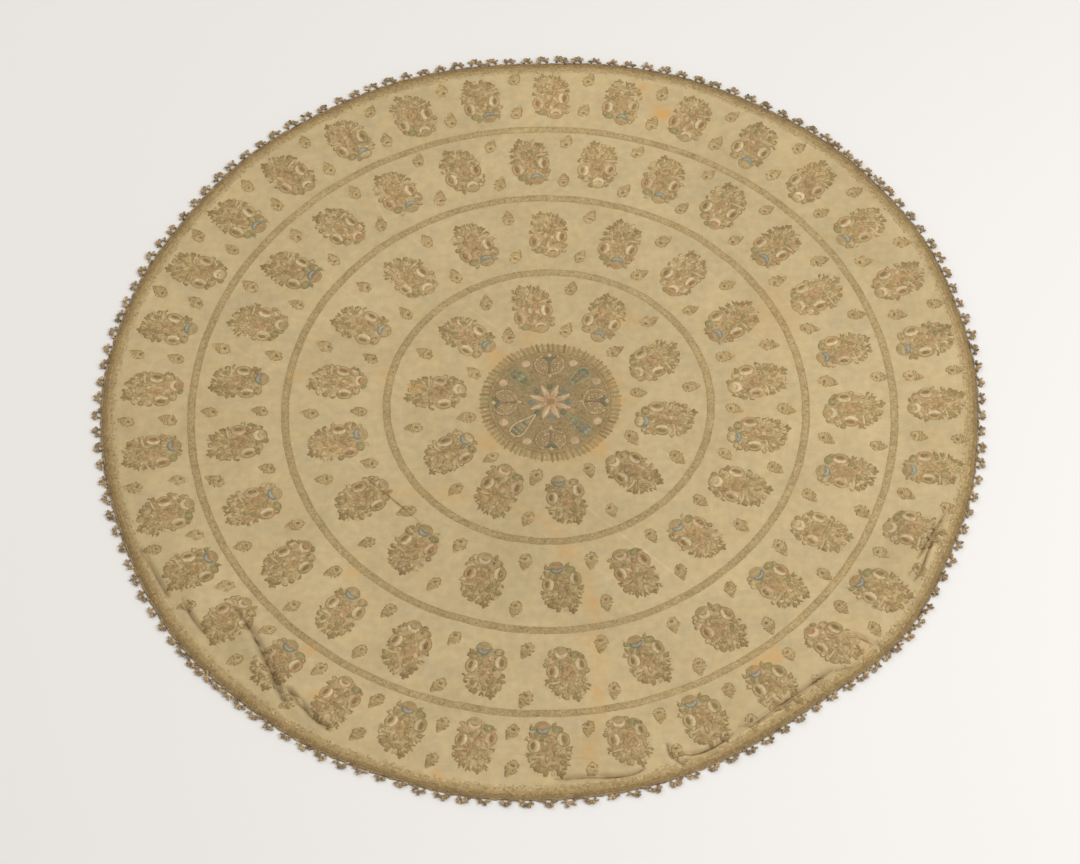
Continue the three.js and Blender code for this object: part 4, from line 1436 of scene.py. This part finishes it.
class Finish:
    """A material and short ways to build its nodes."""

    def __init__(self, name, roughness, sheen):
        self.material = bpy.data.materials.new(name)
        self.material.use_nodes = True
        self.tree = self.material.node_tree
        self.shader = self.tree.nodes["Principled BSDF"]
        for socket, value in (("Roughness", roughness), ("Sheen Weight", sheen), ("Sheen Roughness", 0.4),
                              ("Specular IOR Level", 0.12)):
            self.shader.inputs[socket].default_value = value
        self.places = self.node("ShaderNodeTexCoord").outputs["Object"]

    def node(self, kind, **settings):
        """A new node with its settings."""
        made = self.tree.nodes.new(kind)
        for key, value in settings.items():
            setattr(made, key, value)
        return made

    def join(self, source, target):
        """Links an output to an input, or sets the input to a number."""
        if isinstance(source, bpy.types.NodeSocket):
            self.tree.links.new(source, target)
        else:
            target.default_value = source

    def math(self, operation, first, second=0.0, third=0.0):
        """A sum, product or other operation on numbers."""
        made = self.node("ShaderNodeMath", operation=operation)
        for index, value in enumerate((first, second, third)):
            self.join(value, made.inputs[index])
        return made.outputs[0]

    def product(self, *numbers):
        """The product of several numbers."""
        made = numbers[0]
        for number in numbers[1:]:
            made = self.math("MULTIPLY", made, number)
        return made

    def read(self, name):
        """A number stored on the mesh."""
        return self.node("ShaderNodeAttribute", attribute_name=name).outputs["Fac"]

    def noise(self, scale, detail, stretch=None, low=0.0, high=1.0):
        """Noise between a low and a high number, with a scale in waves per metre."""
        texture = self.node("ShaderNodeTexNoise")
        places = self.places
        if stretch:
            mapping = self.node("ShaderNodeMapping")
            mapping.inputs["Scale"].default_value = stretch
            self.join(places, mapping.inputs["Vector"])
            places = mapping.outputs["Vector"]
        self.join(places, texture.inputs["Vector"])
        texture.inputs["Scale"].default_value = scale
        texture.inputs["Detail"].default_value = detail
        spread = self.node("ShaderNodeMapRange")
        for socket, value in (("From Min", 0.3), ("From Max", 0.7), ("To Min", low), ("To Max", high)):
            spread.inputs[socket].default_value = value
        self.join(texture.outputs["Fac"], spread.inputs["Value"])
        return spread.outputs["Result"]

    def mix(self, share, first, second):
        """A mix of two colours."""
        made = self.node("ShaderNodeMix", data_type="RGBA")
        sockets = {(item.name, item.type): item for item in made.inputs if item.enabled}
        for key, value in ((("Factor", "VALUE"), share), (("A", "RGBA"), first), (("B", "RGBA"), second)):
            self.join((*value, 1.0) if isinstance(value, tuple) else value, sockets[key])
        return next(item for item in made.outputs if item.type == "RGBA")

    def shade(self, base, amount):
        """A colour made lighter or darker by a number."""
        made = self.node("ShaderNodeVectorMath", operation="SCALE")
        self.join(base, made.inputs[0])
        self.join(amount, made.inputs["Scale"])
        return made.outputs[0]

    def fold_line(self, half_width):
        """A thin line where the cloth is folded, above 0 in a crease and below 0 on a ridge."""
        across = self.math("DIVIDE", self.read("fold_distance"), half_width)
        bell_curve = self.math("POWER", math.e, self.product(across, across, -1.0))
        return self.product(bell_curve, self.read("fold_depth"))

    def age_and_painted_light(self, base, colours, stain_share):
        """Stains over a colour, grime and painted shade in the creases, a painted highlight on the storage
        ridges, and painted light and shade over the cloth.
        """
        stained = self.product(self.read("stain"), self.noise(70, 4, low=0.4, high=1.3), stain_share)
        base = self.mix(stained, base, tuple(colours.stain))
        # Lines along the creases painted darker: grime in them and painted shade, the wide line a soft
        # painted shade beside them
        thin, wide = self.fold_line(1.4), self.fold_line(4.6)
        line = self.math("MULTIPLY_ADD", wide, 0.18, self.product(thin, 0.72))
        dirt = self.math("MAXIMUM", self.product(line, self.noise(60, 3, low=0.45, high=1.25)), 0.0)
        # Painted highlight: paler along storage ridges, then painted light and shade from the cloth's paler
        # and darker patches
        tone_change = self.math("MULTIPLY_ADD", self.math("MINIMUM", self.fold_line(2.0), 0.0), -0.14, 1.0)
        tone_change = self.math("ADD", tone_change, self.read("fade"))
        return self.mix(dirt, self.shade(base, tone_change), tuple(colours.soil_and_shade))

    def finish(self, base, height, strength, distance):
        """Sets the shader's colour and bump."""
        self.join(base, self.shader.inputs["Base Color"])
        bump = self.node("ShaderNodeBump")
        bump.inputs["Strength"].default_value = strength
        bump.inputs["Distance"].default_value = distance
        self.join(height, bump.inputs["Height"])
        self.join(bump.outputs["Normal"], self.shader.inputs["Normal"])
        return self.material


# How the linen's red, green and blue are scaled in its warmer and cooler patches
WARMER, COOLER = (0.97, 0.93, 0.86), (0.93, 0.96, 1.03)


def stored_threads(finish):
    """Places along and across the threads, as the mesh stores them."""
    split = finish.node("ShaderNodeSeparateXYZ")
    finish.join(finish.node("ShaderNodeUVMap", uv_map="Threads").outputs["UV"], split.inputs[0])
    return split.outputs["X"], split.outputs["Y"]


def tinted(colour, shares):
    """A colour with each of its parts scaled."""
    return tuple(value * share for value, share in zip(colour, shares))


def linen_material():
    """Plain woven old linen, stained, with grime and painted shade in its creases, painted light and shade
    over it, and slubs along both thread directions.
    """
    scene = bpy.context.scene
    sizes, colours = scene.cloth_sizes, scene.thread_colours
    finish = Finish("linen", 0.92, 0.02)
    across = finish.noise(1.0, 2, (30, 520, 30), 0.986, 1.014)
    along = finish.noise(1.0, 2, (520, 30, 30), 0.986, 1.014)
    cloud = finish.product(finish.noise(9, 6, low=0.93, high=1.07),
                           finish.noise(85, 5, low=0.925, high=1.075))
    tone = finish.product(across, along, cloud)
    warmer, cooler = (tinted(colours.linen, shares) for shares in (WARMER, COOLER))
    warm = finish.mix(finish.noise(5, 3, high=0.6), tuple(colours.linen), warmer)
    warm = finish.mix(finish.noise(34, 4, low=-0.3, high=0.8), warm, cooler)
    base = finish.age_and_painted_light(finish.shade(warm, tone), colours, 0.95)
    split = finish.node("ShaderNodeSeparateXYZ")
    finish.join(finish.places, split.inputs[0])
    waves = TURN / (2 * sizes.weave_pitch)
    warp, weft = (finish.math("SINE", finish.product(split.outputs[way], waves)) for way in "XY")
    threads = finish.math("MULTIPLY_ADD", finish.product(warp, weft), 0.35, finish.math("ADD", across, along))
    height = finish.math("MULTIPLY_ADD", finish.fold_line(2.2), -2.6, threads)
    return finish.finish(base, height, 0.5, 0.0003)


def thread_material(name):
    """Silk thread of one colour, with satin grooves that also darken its colour as painted shade, uneven dye,
    stains, grime and painted shade in the creases, and painted light and shade.
    """
    known = bpy.data.materials.get("thread_" + name)
    if known:
        return known
    scene = bpy.context.scene
    sizes, colours = scene.cloth_sizes, scene.thread_colours
    finish = Finish("thread_" + name, 0.7, 0.03)
    across, along = stored_threads(finish)
    slanted = finish.math("MULTIPLY_ADD", across, 0.35, along)
    groove = finish.math("SINE", finish.product(slanted, TURN / (sizes.satin_pitch / MM)))
    wear = finish.noise(240, 4, low=0.84, high=1.16)
    dye = finish.noise(38, 3, low=0.92, high=1.08)
    # The satin grooves also darken the colour: painted shade between the stitches
    tone = finish.product(finish.read("tone"), wear, dye, finish.math("MULTIPLY_ADD", groove, 0.06, 1.0))
    aged_and_painted = finish.age_and_painted_light(finish.shade(tuple(getattr(colours, name)), tone), colours, 0.5)
    return finish.finish(aged_and_painted, finish.math("MULTIPLY_ADD", groove, 0.5, wear), 0.5, 0.0002)


def lace_material():
    """Knotted lace thread, brown with light rubbed fibres that are partly painted highlights, and plies
    painted lighter and darker as painted highlight and shade.
    """
    colours = bpy.context.scene.thread_colours
    finish = Finish("lace_thread", 0.8, 0.05)
    across, along = stored_threads(finish)
    ply = finish.math("SINE", finish.product(finish.math("MULTIPLY_ADD", across, 1.2, along), 5.2))
    wear = finish.noise(320, 3, low=0.75, high=1.3)
    # The plies also lighten and darken the colour: painted highlight on their crowns and painted shade in
    # their grooves
    tone = finish.product(finish.read("tone"), wear, finish.math("MULTIPLY_ADD", ply, 0.1, 1.0))
    # Light fibres mixed in by noise: partly the thread's own pale fibres, partly painted highlights
    light = finish.mix(finish.noise(75, 3, high=0.6), tuple(colours.lace), tuple(colours.cream))
    light = finish.mix(finish.noise(40, 2, low=-0.2, high=0.5), light, tuple(colours.rose))
    return finish.finish(finish.shade(light, tone), ply, 0.6, 0.0003)


# Operators

class BuildOperator:
    """What the operators share."""

    bl_options = {"REGISTER", "UNDO"}

    @staticmethod
    def shape(context):
        """The laid sheet's shape from the scene's sizes."""
        return ClothShape(context.scene.cloth_sizes)

    @staticmethod
    def draws(context, step):
        """Random draws of one piece."""
        return np.random.default_rng(context.scene.cloth_sizes.seed * 100 + step)


class TABLECLOTH_OT_linen_sheet(BuildOperator, bpy.types.Operator):
    """Build the linen sheet with its folds"""

    bl_idname = "tablecloth.linen_sheet"
    bl_label = "Linen Sheet"

    def execute(self, context):
        carried(make_sheet(self.shape(context)), "linen", "cloth")
        return {"FINISHED"}


class TABLECLOTH_OT_ring_bands(BuildOperator, bpy.types.Operator):
    """Stitch the three ring bands"""

    bl_idname = "tablecloth.ring_bands"
    bl_label = "Ring Bands"

    def execute(self, context):
        stitches = Stitches(self.draws(context, 1))
        width = context.scene.cloth_sizes.ring_width / MM
        for x, y, radius in RING_BANDS:
            make_ring_band(stitches, (x, y), radius, width)
        stitched_object("ring_bands", stitches, self.shape(context))
        return {"FINISHED"}


class TABLECLOTH_OT_sprays(BuildOperator, bpy.types.Operator):
    """Stitch the four bands of flower sprays"""

    bl_idname = "tablecloth.sprays"
    bl_label = "Flower Sprays"
    blue_lights, pale_lights = ["sky"] * 6, ["cream", "cream", "peach"] * 2

    def execute(self, context):
        draw = self.draws(context, 2)
        blue = [make_spray(draw, light) for light in self.blue_lights]
        pale = [make_spray(draw, light) for light in self.pale_lights]
        for band in SPRAY_BANDS:
            stitches = Stitches(draw)
            for index, angle in enumerate(band_angles(band)):
                motifs = blue if base_is_blue(band, index) else pale
                motif = motifs[draw.integers(len(motifs))]
                lean = draw.normal(0, 0.03)
                # Painted light and shade: each spray is painted paler at the far side and darker at the near
                # side
                tone = draw.uniform(0.99, 1.07) * (1 + FAR_SIDE_PAINTED_LIGHT * math.sin(angle))
                stitches.place(motif, ring_place(band, angle), angle + lean, tone, draw.uniform(0.97, 1.03))
            stitched_object("sprays_" + band.name, stitches, self.shape(context))
        return {"FINISHED"}


class TABLECLOTH_OT_sprigs(BuildOperator, bpy.types.Operator):
    """Stitch the small sprigs between the sprays"""

    bl_idname = "tablecloth.sprigs"
    bl_label = "Sprigs"
    variants = 12

    def execute(self, context):
        draw = self.draws(context, 3)
        motifs = [make_sprig(draw) for _ in range(self.variants)]
        stitches = Stitches(draw)
        for band in SPRAY_BANDS:
            angles = band_angles(band)
            for angle, following in zip(angles, np.append(angles[1:], angles[0] - TURN)):
                between = (angle + following) / 2
                for offset in (band.sprig_out, -band.sprig_in):
                    motif = motifs[draw.integers(len(motifs))]
                    shift = draw.normal(0, 2.0)
                    middle = ring_place(band, between + draw.normal(0, 1.5) / band.radius, offset + shift)
                    # Painted light and shade: each sprig is painted paler at the far side and darker at the
                    # near side
                    tone = draw.uniform(1.0, 1.09) * (1 + FAR_SIDE_PAINTED_LIGHT * math.sin(between))
                    stitches.place(motif, middle, between + draw.normal(0, 0.13), tone,
                                   draw.uniform(0.92, 1.08))
        stitched_object("sprigs", stitches, self.shape(context))
        return {"FINISHED"}


class TABLECLOTH_OT_medallion(BuildOperator, bpy.types.Operator):
    """Stitch the medallion in the middle"""

    bl_idname = "tablecloth.medallion"
    bl_label = "Medallion"

    def execute(self, context):
        draw = self.draws(context, 4)
        stitches = Stitches(draw)
        stitches.place(make_medallion(draw), MEDALLION_MIDDLE, QUARTER)
        stitched_object("medallion", stitches, self.shape(context))
        return {"FINISHED"}


class TABLECLOTH_OT_border(BuildOperator, bpy.types.Operator):
    """Stitch the border along the edge"""

    bl_idname = "tablecloth.border"
    bl_label = "Border"

    def execute(self, context):
        shape = self.shape(context)
        stitched_object("border_stitching", make_border(shape, self.draws(context, 5)), shape)
        return {"FINISHED"}


class TABLECLOTH_OT_lace(BuildOperator, bpy.types.Operator):
    """Knot the needle lace edging"""

    bl_idname = "tablecloth.lace"
    bl_label = "Lace Edging"

    def execute(self, context):
        tubes = make_lace(self.shape(context), context.scene.lace_sizes, self.draws(context, 6))
        faces = {3: np.vstack(tubes.triangles), 4: np.vstack(tubes.quads)}
        slots = {size: np.zeros(len(rows), int) for size, rows in faces.items()}
        lace = mesh_object("lace_florets", np.vstack(tubes.points) * MM, faces, slots, [lace_material()],
                           np.vstack(tubes.weave), {"tone": np.concatenate(tubes.tones)})
        carried(lace, "lace_thread", "lace_edging")
        return {"FINISHED"}


class TABLECLOTH_OT_declare_cloth(BuildOperator, bpy.types.Operator):
    """Work out the sheet's cut area and the list of stitched pieces, which are not passed on"""

    bl_idname = "tablecloth.declare_cloth"
    bl_label = "Declare Cloth"

    def execute(self, context):
        area = float(np.mean(self.shape(context).edge_radius(even_turns(720)) ** 2)) * math.pi * MM**2
        stitched = ["ring_bands", "sprigs", "medallion", "border_stitching", "lace_florets"]
        stitched += ["sprays_" + band.name for band in SPRAY_BANDS]
        return {"FINISHED"}


# Where the lights stand and how wide they are, in metres, and the colours of the lights and the even light
KEY_LIGHT, FILL_LIGHT = ((2.3, -0.7, 3.0), 2.2), ((-2.2, 1.8, 2.8), 3.0)
LIGHT_COLOUR, SURROUND_COLOUR = (0.97, 1.0, 1.08), (1.0, 0.955, 0.885, 1.0)


class TABLECLOTH_OT_stage(bpy.types.Operator):
    """Set up the camera, the lights and the floor"""

    bl_idname = "tablecloth.stage"
    bl_label = "Stage"
    bl_options = {"REGISTER", "UNDO"}

    def execute(self, context):
        stage = context.scene.stage_sizes
        make_camera(context, stage)
        make_floor(context, stage)
        add_light(context, "key", *KEY_LIGHT, stage.key_power)
        add_light(context, "fill", *FILL_LIGHT, stage.fill_power)
        world = bpy.data.worlds.new("studio")
        world.use_nodes = True
        surround = world.node_tree.nodes["Background"]
        surround.inputs["Color"].default_value = SURROUND_COLOUR
        surround.inputs["Strength"].default_value = stage.sky_strength
        context.scene.world = world
        context.scene.view_settings.view_transform = "Standard"
        return {"FINISHED"}


def make_camera(context, stage):
    """The camera at the photograph's angle."""
    data = bpy.data.cameras.new("camera")
    data.lens = stage.lens
    camera = bpy.data.objects.new("camera", data)
    context.scene.collection.objects.link(camera)
    level = Vector((1, 0, 0))
    upright = Vector((0, math.sin(stage.elevation), math.cos(stage.elevation)))
    forward = Vector((0, math.cos(stage.elevation), -math.sin(stage.elevation)))
    right = math.cos(stage.roll) * level - math.sin(stage.roll) * upright
    up = math.sin(stage.roll) * level + math.cos(stage.roll) * upright
    turn = Matrix((right, up, -forward)).transposed().to_4x4()
    camera.matrix_world = Matrix.Translation(stage.camera_place) @ turn
    context.scene.camera = camera


FLOOR_HALF, FLOOR_GAP = 6.0, 0.0002


def make_floor(context, stage):
    """A plain pale floor."""
    mesh = bpy.data.meshes.new("floor")
    corners = [(FLOOR_HALF * x, FLOOR_HALF * y, 0) for x, y in ((-1, -1), (1, -1), (1, 1), (-1, 1))]
    mesh.from_pydata(corners, [], [(0, 1, 2, 3)])
    floor = bpy.data.objects.new("floor", mesh)
    floor.location.z = -FLOOR_GAP
    context.scene.collection.objects.link(floor)
    material = bpy.data.materials.new("pale_floor")
    material.use_nodes = True
    shader = material.node_tree.nodes["Principled BSDF"]
    shader.inputs["Base Color"].default_value = (*stage.floor, 1.0)
    shader.inputs["Roughness"].default_value = 0.9
    mesh.materials.append(material)


def add_light(context, name, place, size, power):
    """A large soft light that points at the middle of the cloth."""
    data = bpy.data.lights.new(name, "AREA")
    data.shape = "DISK"
    data.size = size
    data.energy = power
    data.color = LIGHT_COLOUR
    light = bpy.data.objects.new(name, data)
    light.location = place
    light.rotation_euler = (-Vector(place)).to_track_quat("-Z", "Y").to_euler()
    context.scene.collection.objects.link(light)


STEPS = [
    TABLECLOTH_OT_linen_sheet, TABLECLOTH_OT_ring_bands, TABLECLOTH_OT_sprays, TABLECLOTH_OT_sprigs,
    TABLECLOTH_OT_medallion, TABLECLOTH_OT_border, TABLECLOTH_OT_lace, TABLECLOTH_OT_declare_cloth,
    TABLECLOTH_OT_stage,
]


class TABLECLOTH_PT_panel(bpy.types.Panel):
    """Sizes, colours and building steps of the tablecloth"""

    bl_idname = "TABLECLOTH_PT_panel"
    bl_label = "Tablecloth"
    bl_space_type = "VIEW_3D"
    bl_region_type = "UI"
    bl_category = "Tablecloth"

    def draw(self, context):
        for step in STEPS:
            self.layout.operator(step.bl_idname)
        for group in GROUPS:
            box = self.layout.box()
            values = getattr(context.scene, group)
            for name in values.bl_rna.properties.keys():
                if name not in ("rna_type", "name"):
                    box.prop(values, name)


GROUPS = {"cloth_sizes": ClothSizes, "lace_sizes": LaceSizes, "thread_colours": ThreadColours,
          "stage_sizes": StageSizes}


def register():
    """Registers the classes and puts the property groups on the scene."""
    for group in GROUPS.values():
        bpy.utils.register_class(group)
    for step in [*STEPS, TABLECLOTH_PT_panel]:
        bpy.utils.register_class(step)
    for name, group in GROUPS.items():
        setattr(bpy.types.Scene, name, PointerProperty(type=group))


def unregister():
    """Takes the property groups and the classes away again."""
    for name in GROUPS:
        delattr(bpy.types.Scene, name)
    for step in [TABLECLOTH_PT_panel, *reversed(STEPS)]:
        bpy.utils.unregister_class(step)
    for group in reversed(GROUPS.values()):
        bpy.utils.unregister_class(group)


def main():
    """Builds every piece."""
    register()
    bpy.ops.tablecloth.linen_sheet()
    bpy.ops.tablecloth.ring_bands()
    bpy.ops.tablecloth.sprays()
    bpy.ops.tablecloth.sprigs()
    bpy.ops.tablecloth.medallion()
    bpy.ops.tablecloth.border()
    bpy.ops.tablecloth.lace()
    bpy.ops.tablecloth.declare_cloth()
    bpy.ops.tablecloth.stage()


if __name__ == "__main__":
    main()
